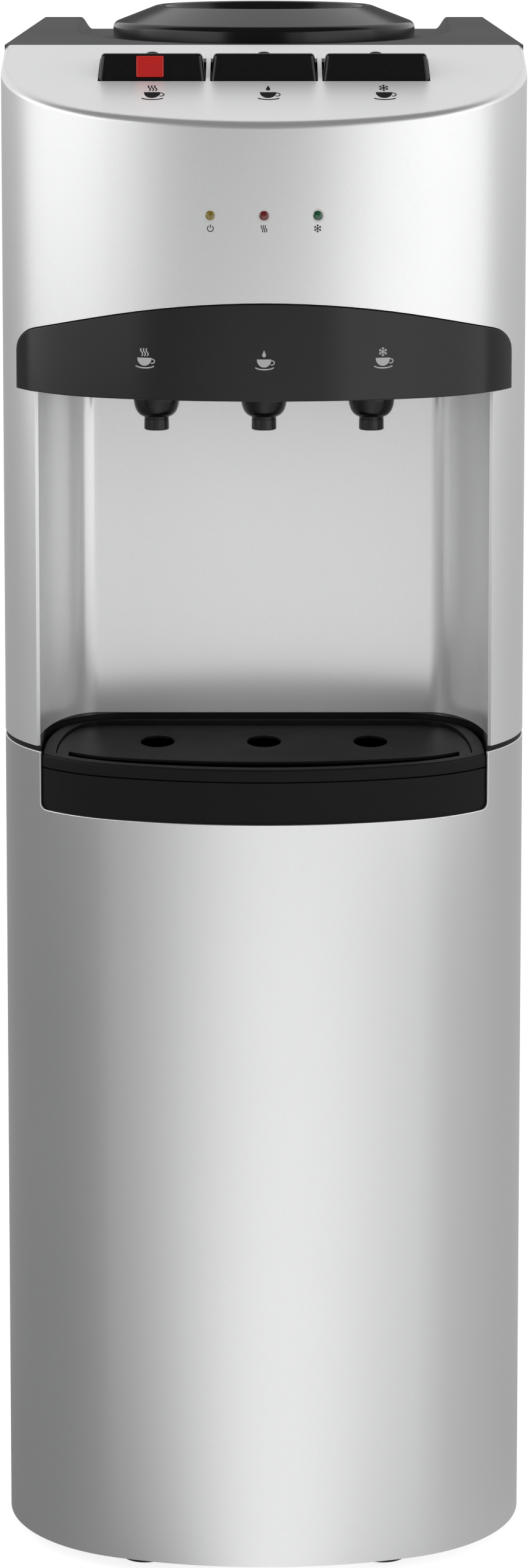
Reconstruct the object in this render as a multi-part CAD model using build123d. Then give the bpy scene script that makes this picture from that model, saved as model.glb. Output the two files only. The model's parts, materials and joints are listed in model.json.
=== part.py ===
"""Free-standing bottle-top water dispenser with hot, room and cold taps.

Millimetres. +X is right, +Y is back, +Z is up. The floor is z = 0 under the middle of the footprint.
"""
import math
import os

from build123d import *

# Envelope.
WIDTH = 310.0
DEPTH = 365.0
BOW_RADIUS = 260.0
CORNER_RADIUS = 100.0
FOOT_HEIGHT = 8.0
LOWER_HEIGHT = 481.0
SEAM_HEIGHT = 3.0
CASING_HEIGHT = 405.5
PANEL_DROP = 36.5
PANEL_EDGE_RADIUS = 4.0

# Walls, fits and the run-out of cutting shapes.
SHEET = 1.0
FRONT_SHEET = 1.5
MOULD_WALL = 2.5
SEAT_FIT = 0.1
FIT = 0.3
RUN_FIT = 0.6
REACH = 60.0
LEFT_AND_RIGHT = (-1, 1)

# Sheet-metal cabinet.
SEAM_INSET = 0.8
FLANGE = 14.0
BACK_RECESS = 25.0
SCREW_HEAD_HEIGHT = 2.0
SCREW_HEAD_RADIUS = 3.6
SCREW_RADIUS = 1.7
SCREW_LENGTH = 7.0
SCREW_ROWS = 4
SCREW_MARGIN = 40.0
BASE_RIM = 20.0
FOOT_RADIUS = 17.0
FOOT_TIP_RADIUS = 14.0
FOOT_STUD_RADIUS = 4.0
FOOT_STUD_LENGTH = 12.0
FOOT_INSET = 42.0
VENT_WIDTH = 84.0
VENT_HEIGHT = 4.0
VENT_PITCH = 12.0
VENT_ROWS = 10
VENT_Z = 96.0
VENT_X = 56.0

# Top deck and the lift-out bottle collar.
DECK_SKIRT = 14.0
DECK_WALL = 3.0
DECK_RISE = 7.5
DECK_TAPER = 14.5
DISH_RADIUS = 114.5
DISH_MARGIN = 3.0
COLLAR_RADIUS = 93.5
COLLAR_SKIRT = 9.0
COLLAR_RISE = 19.5
RIM_RADIUS = 66.5
RIM_WIDTH = 3.0
RIM_ROOT = 4.0
THROAT_RADIUS = 29.0
THROAT_TOP = 20.0
THROAT_END = 60.0
COLLAR_ROUND = 3.0
DECK_HOLE_RADIUS = 60.0

# Dispensing niche and the black tap band over it.
NICHE_HALF = 131.0
NICHE_CORNER = 54.0
CEILING_RISE = 4.0
BAND_BOTTOM = 209.5
BAND_HEIGHT = 56.5
BAND_END_HEIGHT = 34.0
BAND_HALF = 145.0
BAND_CORNER = 12.0
BAND_LIP = 4.0
BAND_BACK = 1.6
BAND_GAP = 0.4

# Drip tray, its grid and the fixed housing under it.
APRON_HEIGHT = 34.0
APRON_CORNER = 4.0
APRON_CLEAR = 0.5
APRON_INSET = 1.7
HOUSING_DROP = 4.0
SHELF_TAIL = 22.0
TRAY_LIP = 9.3
TRAY_GROOVE = 0.6
TRAY_RIM = 8.0
TRAY_WALL = 2.2
GRID_DROP = 2.7
GRID_LEDGE = 4.0
GRID_SHEET = 2.2
GRID_FIT = 0.5
GRID_SLOT = 19.0
GRID_SLOT_HALF = 115.0
DRAIN_WIDTH = 20.5
DRAIN_SHARE = 0.32
DRAIN_CHAMFER = 1.2

# Taps: spout, valve chamber, push rod and silicone return bellows.
TAP_PITCH = 63.5
SPOUT_RADIUS = 7.4
SPOUT_BORE = 4.5
SPOUT_DROP = 32.0
BELL_DROP = 24.0
BELL_RADIUS = 13.7
BELL_TIP_RADIUS = 8.6
BELL_WAIST_RADIUS = 12.5
BELL_WAIST = 6.0
BELL_SHOULDER = 13.0
TAP_RADIUS = 13.0
CHAMBER_RADIUS = 9.0
SEAT_RADIUS = 4.6
SEAT_WALL = 3.0
LOWER_CHAMBER = 10.0
UPPER_CHAMBER = 14.0
TAP_FLOOR = 4.0
GLAND_WALL = 6.0
ROD_RADIUS = 3.0
SEAL_RADIUS = 7.0
SEAL_HEIGHT = 3.0
ROD_COLLAR_RADIUS = 8.0
ROD_COLLAR_HEIGHT = 3.0
BELLOWS_LENGTH = 26.0
BELLOWS_OUTER = 8.0
BELLOWS_INNER = 5.5
BELLOWS_WALL = 0.9
BELLOWS_FOLDS = 4
STUB_RADIUS = 5.0
STUB_BORE = 3.0
STUB_LENGTH = 14.0

# Three keys on the control panel, their frame and hinge rod, and the child lock.
KEY_PITCH = 65.5
KEY_WIDTH = 62.2
KEY_LENGTH = 41.0
KEY_MARGIN = 28.0
KEY_RISE = 15.3
KEY_DRAFT = 6.9
KEY_WALL = 2.2
KEY_SKIRT = 4.0
KEY_CORNER = 2.5
KEY_ROUND = 1.8
KEY_GAP = 0.9
KEY_FRONT_GAP = 2.8
HINGE_FROM_REAR = 5.0
HINGE_BELOW_SKIRT = 3.5
HINGE_RADIUS = 2.0
LEG_X = 20.0
LEG_WIDTH = 4.0
LEG_RADIUS = 4.0
EAR_WIDTH = 3.0
FRAME_SHEET = 3.0
FRAME_DROP = 11.0
FRAME_EDGE = 8.0
FRAME_END = 40.0
POST_WIDTH = 7.0
PUSHER_RADIUS = 3.5
PUSHER_SETBACK = 12.5
PUSHER_DROP = 12.0
LOCK_WIDTH = 16.0
LOCK_HEIGHT = 12.4
LOCK_DEPTH = 4.5
LOCK_PROUD = 1.2
LOCK_TRAVEL = 2.0
LOCK_LIFT = 1.4
LOCK_OFFSET = -1.0
LOCK_WALL = 1.4

# Indicator lamps on their board.
LAMP_PITCH = 30.5
LAMP_DROP = 53.0
LAMP_RADIUS = 2.7
LAMP_PROUD = 0.9
BEZEL_RADIUS = 3.9
BEZEL_BORE = 2.9
BEZEL_DEPTH = 5.0
BEZEL_PROUD = 0.3
BOARD_SETBACK = 14.0
BOARD_HALF = 48.0
BOARD_HEIGHT = 18.0
BOARD_SHEET = 1.6
BOARD_POST_X = 43.0
BOARD_POST_RADIUS = 3.0

# Cold tank, insulation, evaporator and baffle. The hose lane runs between the niche and the foam.
HOSE_LANE = 27.5
TANK_REAR_GAP = 0.5
TANK_RADIUS = 60.0
TANK_WALL = 1.2
TANK_HEIGHT = 210.0
TANK_TOP_DROP = 15.0
FOAM_RADIUS = 80.0
FOAM_GAP = 4.0
FOAM_FLOOR = 15.0
FOAM_TOP_DROP = 3.0
COIL_THICKNESS = 3.0
COIL_WIDTH = 8.0
COIL_PITCH = 18.0
COIL_TURNS = 5
COIL_LIFT = 36.0
BAFFLE_DROP = 95.0
BAFFLE_RADIUS = 54.0
BAFFLE_STEM_RADIUS = 4.0
BAFFLE_SHEET = 2.0
COLD_STUB_X = 28.0
COLD_STUB_LIFT = 16.0
ROOM_STUB_DROP = 58.0
FEED_STUB_Y = 22.0
SHELF_SHEET = 1.2
SHELF_FLANGE = 18.0
SHELF_FRONT_GAP = 20.0

# Hot tank.
HOT_RADIUS = 48.0
HOT_HEIGHT = 128.0
HOT_FOAM_WALL = 11.0
HOT_GAP = 47.0
HOT_STUB_X = 28.0
HOT_STUB_Y = -24.0
HOT_STUB_RISE = 26.0
HEATER_WALL = 2.5
HEATER_HEIGHT = 40.0
HEATER_LIFT = 20.0
THERMOSTAT_RADIUS = 8.0
THERMOSTAT_HEIGHT = 7.0
THERMOSTAT_X = 26.0
HOSE_RISE = 14.0
HOSE_BEND = 6.5
DRAIN_LIFT = 14.0
DRAIN_PIPE_RADIUS = 6.0
DRAIN_PIPE_BORE = 4.0
DRAIN_PIPE_PROUD = 10.0
DRAIN_CAP_RADIUS = 9.5
DRAIN_CAP_WALL = 3.0

# Refrigeration.
COMPRESSOR_RADIUS = 62.0
COMPRESSOR_HEIGHT = 162.0
COMPRESSOR_SETBACK = 93.5
COMPRESSOR_DOME = 36.0
COMPRESSOR_BELLY = 18.0
COMPRESSOR_SEAM_RADIUS = 65.0
COMPRESSOR_SEAM_HEIGHT = 4.0
COMPRESSOR_SEAM_LIFT = 78.0
SOLE_LENGTH = 176.0
SOLE_WIDTH = 104.0
SOLE_SHEET = 3.0
SOLE_HOLE_INSET_X = 10.0
SOLE_HOLE_INSET_Y = 12.0
GROMMET_RADIUS = 10.0
GROMMET_HEIGHT = 14.0
GROMMET_NECK = 6.0
RELAY_WIDTH = 34.0
RELAY_DEPTH = 22.0
RELAY_HEIGHT = 46.0
CONDENSER_HALF = 108.0
CONDENSER_RUNS = 9
CONDENSER_PITCH = 36.0
CONDENSER_Z = 538.0
CONDENSER_TUBE = 2.5
CONDENSER_WIRE = 0.8
CONDENSER_WIRE_COUNT = 11
CONDENSER_WIRE_PITCH = 19.0
CONDENSER_OVERHANG = 10.0
CLIP_WIDTH = 14.0
CLIP_HEIGHT = 9.0
LINE_RADIUS = 2.5
LINE_BEND = 10.0
LINE_REACH = 16.0
LINE_LIFT = 118.0
LINE_HOLE_RADIUS = 5.0
SUCTION_GAP = 20.0
PORT_LENGTH = 8.0

# Rear switches and cord inlet.
SWITCH_Z = 352.0
SWITCH_INSET = 93.0
SWITCH_PITCH = 30.0
SWITCH_BEZEL_HALF_X = 7.6
SWITCH_BEZEL_HALF_Z = 11.2
SWITCH_BEZEL = 1.8
SWITCH_BODY_HALF_X = 6.4
SWITCH_BODY_HALF_Z = 9.8
SWITCH_DEPTH = 14.0
SWITCH_WELL_DEPTH = 10.0
ROCKER_HALF_X = 4.8
ROCKER_HALF_Z = 7.7
ROCKER_WELL_HALF_X = 5.2
ROCKER_WELL_HALF_Z = 8.6
ROCKER_TILT = 8.0
ROCKER_TIP = 2.8
ROCKER_DIP = 1.3
ROCKER_ROOT = 5.0
ROCKER_ROOT_HALF = 3.6
ROCKER_HEEL = 1.0
PIVOT_RADIUS = 1.2
PIVOT_REACH = 0.9
GLAND_Z = 58.0
GLAND_INSET = 51.0
GLAND_RADIUS = 7.6
GLAND_BORE = 4.2
GLAND_FLANGE = 10.5
GLAND_LIP = 3.0
GLAND_LENGTH = 12.0

# Levels and stations that follow from the sizes above.
Y_FRONT = LAMP_PROUD - DEPTH / 2
Y_BACK = DEPTH / 2
Y_SHELL_BACK = Y_BACK - SCREW_HEAD_HEIGHT
Y_WEB = Y_SHELL_BACK - BACK_RECESS
Y_TANK = Y_WEB - TANK_REAR_GAP - FOAM_RADIUS
Y_FOAM_FRONT = Y_TANK - FOAM_RADIUS
Y_NICHE = Y_FOAM_FRONT - HOSE_LANE
Y_SPLIT = Y_NICHE
Y_KEY_REAR = Y_SPLIT - KEY_MARGIN
Y_KEY_FRONT = Y_KEY_REAR - KEY_LENGTH
Y_TAP = Y_KEY_FRONT + PUSHER_SETBACK
Y_COMPRESSOR = Y_WEB - COMPRESSOR_SETBACK
BOW_Y = Y_FRONT + BOW_RADIUS
CORNER_X = WIDTH / 2 - CORNER_RADIUS
CORNER_Y = BOW_Y - math.sqrt((BOW_RADIUS - CORNER_RADIUS) ** 2 - CORNER_X**2)
Z_BASE = FOOT_HEIGHT
Z_LOWER_TOP = Z_BASE + LOWER_HEIGHT
Z_CASING = Z_LOWER_TOP + SEAM_HEIGHT
Z_DECK = Z_CASING + CASING_HEIGHT
Z_PANEL = Z_DECK - PANEL_DROP
Z_SIDE_TOP = Z_DECK - DECK_SKIRT
PANEL_SLOPE = PANEL_DROP / (Y_SPLIT - Y_FRONT)
Z_BAND = Z_CASING + BAND_BOTTOM
Z_CEILING = Z_BAND + CEILING_RISE
Z_TAP = Z_CEILING + MOULD_WALL
Z_APRON = Z_LOWER_TOP - APRON_HEIGHT
Z_HOUSING = Z_APRON - HOUSING_DROP
Z_LIP = Z_LOWER_TOP - TRAY_LIP
Z_GRID = Z_LOWER_TOP - GRID_DROP
Z_GRID_SEAT = Z_GRID - GRID_SHEET
Z_TRAY_FLOOR = Z_HOUSING + MOULD_WALL + SEAT_FIT
BAND_DEPTH = MOULD_WALL + SEAT_FIT + BAND_BACK
Z_KEY_FRONT = Z_DECK - PANEL_SLOPE * (Y_SPLIT - Y_KEY_FRONT)
Z_KEY_TOP = Z_KEY_FRONT + KEY_RISE
Z_KEY_SKIRT = Z_KEY_FRONT - KEY_SKIRT
Y_HINGE = Y_KEY_REAR - HINGE_FROM_REAR
Z_HINGE = Z_KEY_SKIRT - HINGE_BELOW_SKIRT
Z_FRAME = Z_HINGE - FRAME_DROP
Z_PUSHER = Z_KEY_TOP - PUSHER_DROP - KEY_WALL
Z_LAMP = Z_PANEL - LAMP_DROP
Y_BOARD = Y_FRONT + BOARD_SETBACK
Z_CHAMBER = Z_TAP + TAP_FLOOR
Z_SEAT = Z_CHAMBER + LOWER_CHAMBER
Z_CHAMBER_TOP = Z_SEAT + SEAT_WALL + UPPER_CHAMBER
Z_TAP_TOP = Z_CHAMBER_TOP + GLAND_WALL
Z_STUB = Z_SEAT + SEAT_WALL + UPPER_CHAMBER / 2
Y_STUB_END = Y_TAP + TAP_RADIUS + STUB_LENGTH
Z_TANK_TOP = Z_DECK - TANK_TOP_DROP
Z_TANK = Z_TANK_TOP - TANK_HEIGHT
Z_FOAM = Z_TANK - FOAM_FLOOR
Y_TANK_STUB = Y_FOAM_FRONT - FIT
Z_COLD_STUB = Z_TANK + COLD_STUB_LIFT
Z_ROOM_STUB = Z_TANK_TOP - ROOM_STUB_DROP
Z_HOT_TOP = Z_FOAM - SHELF_SHEET - HOT_GAP
Z_HOT = Z_HOT_TOP - HOT_HEIGHT
Z_HOT_FOAM = Z_HOT - HOT_FOAM_WALL
Z_HOT_STUB = Z_HOT_TOP + HOT_STUB_RISE
Y_LANE = (Y_NICHE + MOULD_WALL + Y_FOAM_FRONT) / 2
Z_DRAIN = Z_HOT + DRAIN_LIFT
Z_FLOOR_PAN = Z_BASE + FRONT_SHEET
Z_SOLE = Z_FLOOR_PAN + GROMMET_HEIGHT - SOLE_SHEET
Y_CONDENSER = (Y_WEB + Y_SHELL_BACK) / 2
Z_CONDENSER_TOP = CONDENSER_Z + (CONDENSER_RUNS - 1) * CONDENSER_PITCH
LINE_X = CONDENSER_HALF + LINE_REACH
Z_LINE = Z_SOLE + SOLE_SHEET + LINE_LIFT
Y_DISCHARGE = Y_COMPRESSOR + COMPRESSOR_RADIUS + PORT_LENGTH
X_SUCTION = -COMPRESSOR_RADIUS - PORT_LENGTH
X_DOWN_LINE = -FOAM_RADIUS - SUCTION_GAP
Y_LINE = Y_DISCHARGE + LINE_REACH / 2
Z_COIL = Z_TANK + COIL_LIFT
Z_COIL_TOP = Z_COIL + COIL_PITCH * COIL_TURNS
TAP_X = {"hot": -TAP_PITCH, "room": 0.0, "cold": TAP_PITCH}
KEY_X = {"hot": -KEY_PITCH, "room": 0.0, "cold": KEY_PITCH}
LAMP_X = {"power": -LAMP_PITCH, "hot": 0.0, "cold": LAMP_PITCH}
X_SWITCH = WIDTH / 2 - SWITCH_INSET
SWITCH_CENTRE = {"hot": X_SWITCH - SWITCH_PITCH, "cold": X_SWITCH}
X_GLAND = GLAND_INSET - WIDTH / 2
X_SOLE_HOLE = SOLE_LENGTH / 2 - SOLE_HOLE_INSET_X
Y_SOLE_HOLE = SOLE_WIDTH / 2 - SOLE_HOLE_INSET_Y


def block(x0, x1, y0, y1, z0, z1):
    """Box between two corners."""
    return Pos((x0 + x1) / 2, (y0 + y1) / 2, (z0 + z1) / 2) * Box(x1 - x0, y1 - y0, z1 - z0)


def upright(radius, x, y, z0, z1):
    """Cylinder along Z."""
    return Pos(x, y, (z0 + z1) / 2) * Cylinder(radius, z1 - z0)


def lengthwise(radius, x, z, y0, y1):
    """Cylinder along Y."""
    return Pos(x, (y0 + y1) / 2, z) * Rot(90, 0, 0) * Cylinder(radius, y1 - y0)


def crosswise(radius, y, z, x0, x1):
    """Cylinder along X."""
    return Pos((x0 + x1) / 2, y, z) * Rot(0, 90, 0) * Cylinder(radius, x1 - x0)


def prism(plan, z0, z1):
    """A plan raised between two levels."""
    return Pos(0, 0, z0) * extrude(plan, amount=z1 - z0, dir=(0, 0, 1))


def side_prism(points, x0, x1):
    """A (y, z) polygon run along X."""
    profile = Plane.YZ * make_face(Polyline(*points, close=True))
    return Pos(x0, 0, 0) * extrude(profile, amount=x1 - x0, dir=(1, 0, 0))


def front_prism(face, y0, y1):
    """An (x, z) face run along Y."""
    return Pos(0, y0, 0) * extrude(Plane.XZ * face, amount=y1 - y0, dir=(0, 1, 0))


def turned(points, x, y):
    """An (r, z) polygon turned about an upright axis."""
    profile = Plane.XZ * make_face(Polyline(*points, close=True))
    return Pos(x, y, 0) * revolve(profile, axis=Axis.Z)


def group(pieces):
    """Several separate solids kept as one node."""
    return Compound([solid for piece in pieces for solid in piece.solids()])


def bent_rod(points, bend, radius):
    """A round rod along straight runs with rounded bends."""
    path = FilletPolyline(*points, radius=bend)
    section = Plane(origin=path @ 0, z_dir=path % 0) * Circle(radius)
    return sweep(section, path=path)


def bow_plan(inset, y_rear):
    """Plan of the bowed front with round corners and straight sides, closed off at y_rear."""
    half = WIDTH / 2 - inset
    corner = CORNER_RADIUS - inset
    stretch = (BOW_RADIUS - inset) / (BOW_RADIUS - CORNER_RADIUS)
    joint = (CORNER_X * stretch, BOW_Y + (CORNER_Y - BOW_Y) * stretch)
    turn = math.atan2(CORNER_Y - BOW_Y, CORNER_X) / 2
    middle = (CORNER_X + corner * math.cos(turn), CORNER_Y + corner * math.sin(turn))
    return make_face([
        Line((half, y_rear), (half, CORNER_Y)),
        ThreePointArc((half, CORNER_Y), middle, joint),
        ThreePointArc(joint, (0, Y_FRONT + inset), (-joint[0], joint[1])),
        ThreePointArc((-joint[0], joint[1]), (-middle[0], middle[1]), (-half, CORNER_Y)),
        Line((-half, CORNER_Y), (-half, y_rear)),
        Line((-half, y_rear), (half, y_rear)),
    ])


def niche_plan(inset):
    """Plan of the dispensing niche, running out past the front."""
    half = NICHE_HALF - inset
    back = Y_NICHE - inset
    corner = NICHE_CORNER - inset
    front = Y_FRONT - REACH
    bulge = corner * math.sqrt(0.5)
    middle = (half - corner + bulge, back - corner + bulge)
    return make_face([
        Line((-half, front), (half, front)),
        Line((half, front), (half, back - corner)),
        ThreePointArc((half, back - corner), middle, (half - corner, back)),
        Line((half - corner, back), (corner - half, back)),
        ThreePointArc((corner - half, back), (-middle[0], middle[1]), (-half, back - corner)),
        Line((-half, back - corner), (-half, front)),
    ])


def bow_shell(outer, inner, y_rear, z0, z1):
    """Upright wall that follows the bowed front between two insets."""
    hollow = prism(bow_plan(inner, y_rear + REACH), z0 - REACH, z1 + REACH)
    return prism(bow_plan(outer, y_rear), z0, z1) - hollow


def niche_bow(niche_inset, bow_inset, z0, z1):
    """Tray-shaped prism: niche plan at the back and sides, bow at the front."""
    return prism(niche_plan(niche_inset), z0, z1) & prism(bow_plan(bow_inset, Y_SPLIT + REACH), z0, z1)


def bow_y(x, inset):
    """Station of the bowed front, set back by inset, at a distance from the middle."""
    return BOW_Y - math.sqrt((BOW_RADIUS - inset) ** 2 - x**2)


def under_slope(y0, z0, y1, z1, drop):
    """Everything below a plane that rises from (y0, z0) to (y1, z1), lowered by drop."""
    slope = (z1 - z0) / (y1 - y0)
    lower = drop * math.sqrt(1 + slope**2)
    start = (y0 - REACH, z0 - REACH * slope - lower)
    end = (y1 + REACH, z1 + REACH * slope - lower)
    half = WIDTH / 2 + REACH
    return side_prism([start, end, (end[0], -REACH), (start[0], -REACH)], -half, half)


def under_panel(drop):
    """Everything below the sloping control panel."""
    return under_slope(Y_FRONT, Z_PANEL, Y_SPLIT, Z_DECK, drop)


def band_face(grow, drop):
    """Front view of the tap band: straight foot, arched top, rounded upper corners."""
    half = BAND_HALF + grow
    foot = Z_BAND - drop
    end = Z_BAND + BAND_END_HEIGHT + grow
    crown = Z_BAND + BAND_HEIGHT + grow
    face = make_face([
        Line((-half, foot), (half, foot)),
        Line((half, foot), (half, end)),
        ThreePointArc((half, end), (0, crown), (-half, end)),
        Line((-half, end), (-half, foot)),
    ])
    upper = face.vertices().filter_by(lambda v: v.Y > foot + BAND_END_HEIGHT / 2)
    return fillet(upper, BAND_CORNER + grow)


def make_base_plate():
    rear = Y_WEB - FIT
    skin = FRONT_SHEET + FIT
    pan = prism(bow_plan(skin, rear), Z_BASE, Z_BASE + BASE_RIM)
    pan -= prism(bow_plan(skin + FRONT_SHEET, rear - FRONT_SHEET), Z_FLOOR_PAN, Z_BASE + REACH)
    inner = WIDTH / 2 - FLANGE - FIT
    for side in LEFT_AND_RIGHT:
        x0, x1 = sorted((side * inner, side * WIDTH))
        notch = (Y_SPLIT - FRONT_SHEET - FIT, Y_SPLIT + SHEET + FIT)
        pan -= block(x0, x1, notch[0], notch[1], 0, Z_BASE + REACH)
    for x, y in foot_places():
        pan -= upright(FOOT_STUD_RADIUS + FIT, x, y, 0, Z_BASE + REACH)
    for x, y in sole_places():
        pan -= upright(GROMMET_NECK + FIT, x, y, 0, Z_BASE + REACH)
    return pan


def foot_places():
    front = Y_FRONT + FOOT_INSET
    rear = Y_WEB - FOOT_INSET / 2
    front_x = WIDTH / 2 - 2 * FOOT_INSET
    rear_x = WIDTH / 2 - FOOT_INSET
    return [(-front_x, front), (front_x, front), (-rear_x, rear), (rear_x, rear)]


def sole_places():
    return [
        (sx * X_SOLE_HOLE, Y_COMPRESSOR + sy * Y_SOLE_HOLE)
        for sx in LEFT_AND_RIGHT
        for sy in LEFT_AND_RIGHT
    ]


def make_feet():
    top = Z_FLOOR_PAN + FOOT_STUD_LENGTH
    profile = [
        (0, 0),
        (FOOT_TIP_RADIUS, 0),
        (FOOT_RADIUS, FOOT_HEIGHT / 2),
        (FOOT_RADIUS, Z_BASE),
        (FOOT_STUD_RADIUS, Z_BASE),
        (FOOT_STUD_RADIUS, top),
        (0, top),
    ]
    return group([turned(profile, x, y) for x, y in foot_places()])


def make_lower_front_panel():
    panel = bow_shell(0, FRONT_SHEET, Y_SPLIT, Z_BASE, Z_LOWER_TOP)
    inner = WIDTH / 2 - FLANGE
    for side in LEFT_AND_RIGHT:
        x0, x1 = sorted((side * inner, side * (WIDTH / 2 - FRONT_SHEET / 2)))
        panel += block(x0, x1, Y_SPLIT - FRONT_SHEET, Y_SPLIT, Z_BASE, Z_LOWER_TOP)
    half = NICHE_HALF + APRON_CLEAR
    window = make_face(Polyline(
        (-half, Z_APRON),
        (half, Z_APRON),
        (half, Z_LOWER_TOP + REACH),
        (-half, Z_LOWER_TOP + REACH),
        close=True,
    ))
    lower = window.vertices().filter_by(lambda v: v.Y < Z_LOWER_TOP)
    panel -= front_prism(fillet(lower, APRON_CORNER), Y_FRONT - REACH, CORNER_Y)
    return panel


def make_side_panel(side):
    outer = side * WIDTH / 2
    skin = side * (WIDTH / 2 - SHEET)
    fold = side * (WIDTH / 2 - FLANGE)
    x0, x1 = sorted((skin, outer))
    panel = block(x0, x1, Y_SPLIT, Y_SHELL_BACK, Z_BASE, Z_SIDE_TOP)
    x0, x1 = sorted((fold, outer))
    panel += block(x0, x1, Y_SPLIT, Y_SPLIT + SHEET, Z_BASE, Z_SIDE_TOP)
    panel += block(x0, x1, Y_SHELL_BACK - SHEET, Y_SHELL_BACK, Z_BASE, Z_SIDE_TOP)
    for x, z in screw_places():
        panel -= lengthwise(SCREW_RADIUS + SEAT_FIT, x, z, Y_SHELL_BACK - SHEET - FIT, Y_SHELL_BACK + FIT)
    return panel


def screw_places():
    step = (Z_SIDE_TOP - Z_BASE - 2 * SCREW_MARGIN) / (SCREW_ROWS - 1)
    x = WIDTH / 2 - FLANGE / 2
    return [
        (side * x, Z_BASE + SCREW_MARGIN + row * step)
        for side in LEFT_AND_RIGHT
        for row in range(SCREW_ROWS)
    ]


def make_back_panel():
    ledge = WIDTH / 2 - FLANGE - FIT
    edge = WIDTH / 2 - SHEET - FIT
    lip = Y_SHELL_BACK - SHEET
    panel = block(-ledge, ledge, Y_WEB, Y_WEB + SHEET, Z_BASE, Z_SIDE_TOP)
    for side in LEFT_AND_RIGHT:
        x0, x1 = sorted((side * (ledge - SHEET), side * ledge))
        panel += block(x0, x1, Y_WEB, lip, Z_BASE, Z_SIDE_TOP)
        x0, x1 = sorted((side * (ledge - SHEET), side * edge))
        panel += block(x0, x1, lip - SHEET, lip, Z_BASE, Z_SIDE_TOP)
    outside = Y_WEB + SHEET + FIT
    for side in LEFT_AND_RIGHT:
        for row in range(VENT_ROWS):
            slot = Pos(side * VENT_X, VENT_Z + row * VENT_PITCH) * SlotOverall(VENT_WIDTH, VENT_HEIGHT)
            panel -= front_prism(slot, Y_WEB - FIT, outside)
    for x in SWITCH_CENTRE.values():
        half_x = SWITCH_BODY_HALF_X + FIT
        half_z = SWITCH_BODY_HALF_Z + FIT
        panel -= block(x - half_x, x + half_x, Y_WEB - FIT, outside, SWITCH_Z - half_z, SWITCH_Z + half_z)
    panel -= lengthwise(GLAND_RADIUS + FIT, X_GLAND, GLAND_Z, Y_WEB - FIT, outside)
    panel -= lengthwise(DRAIN_PIPE_RADIUS + FIT, 0, Z_DRAIN, Y_WEB - FIT, outside)
    panel -= lengthwise(LINE_HOLE_RADIUS, LINE_X, CONDENSER_Z, Y_WEB - FIT, outside)
    panel -= lengthwise(LINE_HOLE_RADIUS, -LINE_X, Z_CONDENSER_TOP, Y_WEB - FIT, outside)
    for x, z in screw_places():
        panel -= lengthwise(SCREW_RADIUS + SEAT_FIT, x, z, lip - SHEET - FIT, lip + FIT)
    return panel


def make_panel_screws():
    profile = [
        (0, -SCREW_LENGTH),
        (SCREW_RADIUS, -SCREW_LENGTH),
        (SCREW_RADIUS, 0),
        (SCREW_HEAD_RADIUS, 0),
        (SCREW_HEAD_RADIUS, SCREW_HEAD_HEIGHT / 2),
        (SCREW_HEAD_RADIUS / 2, SCREW_HEAD_HEIGHT),
        (0, SCREW_HEAD_HEIGHT),
    ]
    screw = Rot(-90, 0, 0) * turned(profile, 0, 0)
    return group([Pos(x, Y_SHELL_BACK, z) * screw for x, z in screw_places()])


def make_upper_casing():
    high = Z_DECK + REACH
    outer = prism(bow_plan(0, Y_SPLIT), Z_CASING, high) & under_panel(0)
    slope = outer.faces().filter_by(lambda f: f.normal_at().Z > 0.5)[0]
    brow = slope.edges().filter_by(lambda e: e.center().Y < Y_SPLIT - FIT)
    outer = fillet(brow, PANEL_EDGE_RADIUS)
    hollow = prism(bow_plan(MOULD_WALL, Y_SPLIT + REACH), Z_CASING - REACH, high)
    casing = outer - (hollow & under_panel(MOULD_WALL))
    casing -= prism(niche_plan(0), Z_CASING - REACH, Z_BAND + BAND_CORNER)
    casing -= front_prism(band_face(0, 0), Y_FRONT - REACH, CORNER_Y)
    for x in KEY_X.values():
        half = KEY_WIDTH / 2 + KEY_GAP
        front = Y_KEY_FRONT - KEY_FRONT_GAP
        casing -= block(x - half, x + half, front, Y_KEY_REAR + KEY_GAP, Z_KEY_SKIRT - REACH, high)
    for x in LAMP_X.values():
        casing -= lengthwise(BEZEL_RADIUS + SEAT_FIT, x, Z_LAMP, Y_FRONT - REACH, Y_BOARD)
    for side in LEFT_AND_RIGHT:
        x = side * BOARD_POST_X
        casing += lengthwise(BOARD_POST_RADIUS, x, Z_LAMP, bow_y(x, 0) + MOULD_WALL / 2, Y_BOARD)
    return casing


def make_niche_liner():
    front = MOULD_WALL + SEAT_FIT
    behind_band = BAND_DEPTH + FIT
    walls = niche_bow(-MOULD_WALL, front, Z_CASING, Z_BAND - FIT)
    walls += niche_bow(-MOULD_WALL, behind_band, Z_BAND - FIT, Z_TAP)
    walls -= prism(niche_plan(0), Z_CASING - REACH, Z_CEILING)
    for x in TAP_X.values():
        walls -= upright(SPOUT_RADIUS + FIT, x, Y_TAP, Z_CEILING - REACH, Z_TAP + REACH)
    return walls


def make_tap_band():
    high = Z_BAND + BAND_HEIGHT + REACH
    plug = bow_shell(0, BAND_DEPTH, Y_SPLIT, Z_BAND - REACH, high)
    plug &= front_prism(band_face(-BAND_GAP, 0), Y_FRONT - REACH, CORNER_Y)
    lip = bow_shell(MOULD_WALL + SEAT_FIT, BAND_DEPTH, Y_SPLIT, Z_BAND - REACH, high)
    lip &= front_prism(band_face(BAND_LIP, 0), Y_FRONT - REACH, CORNER_Y)
    return plug + lip


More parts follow.
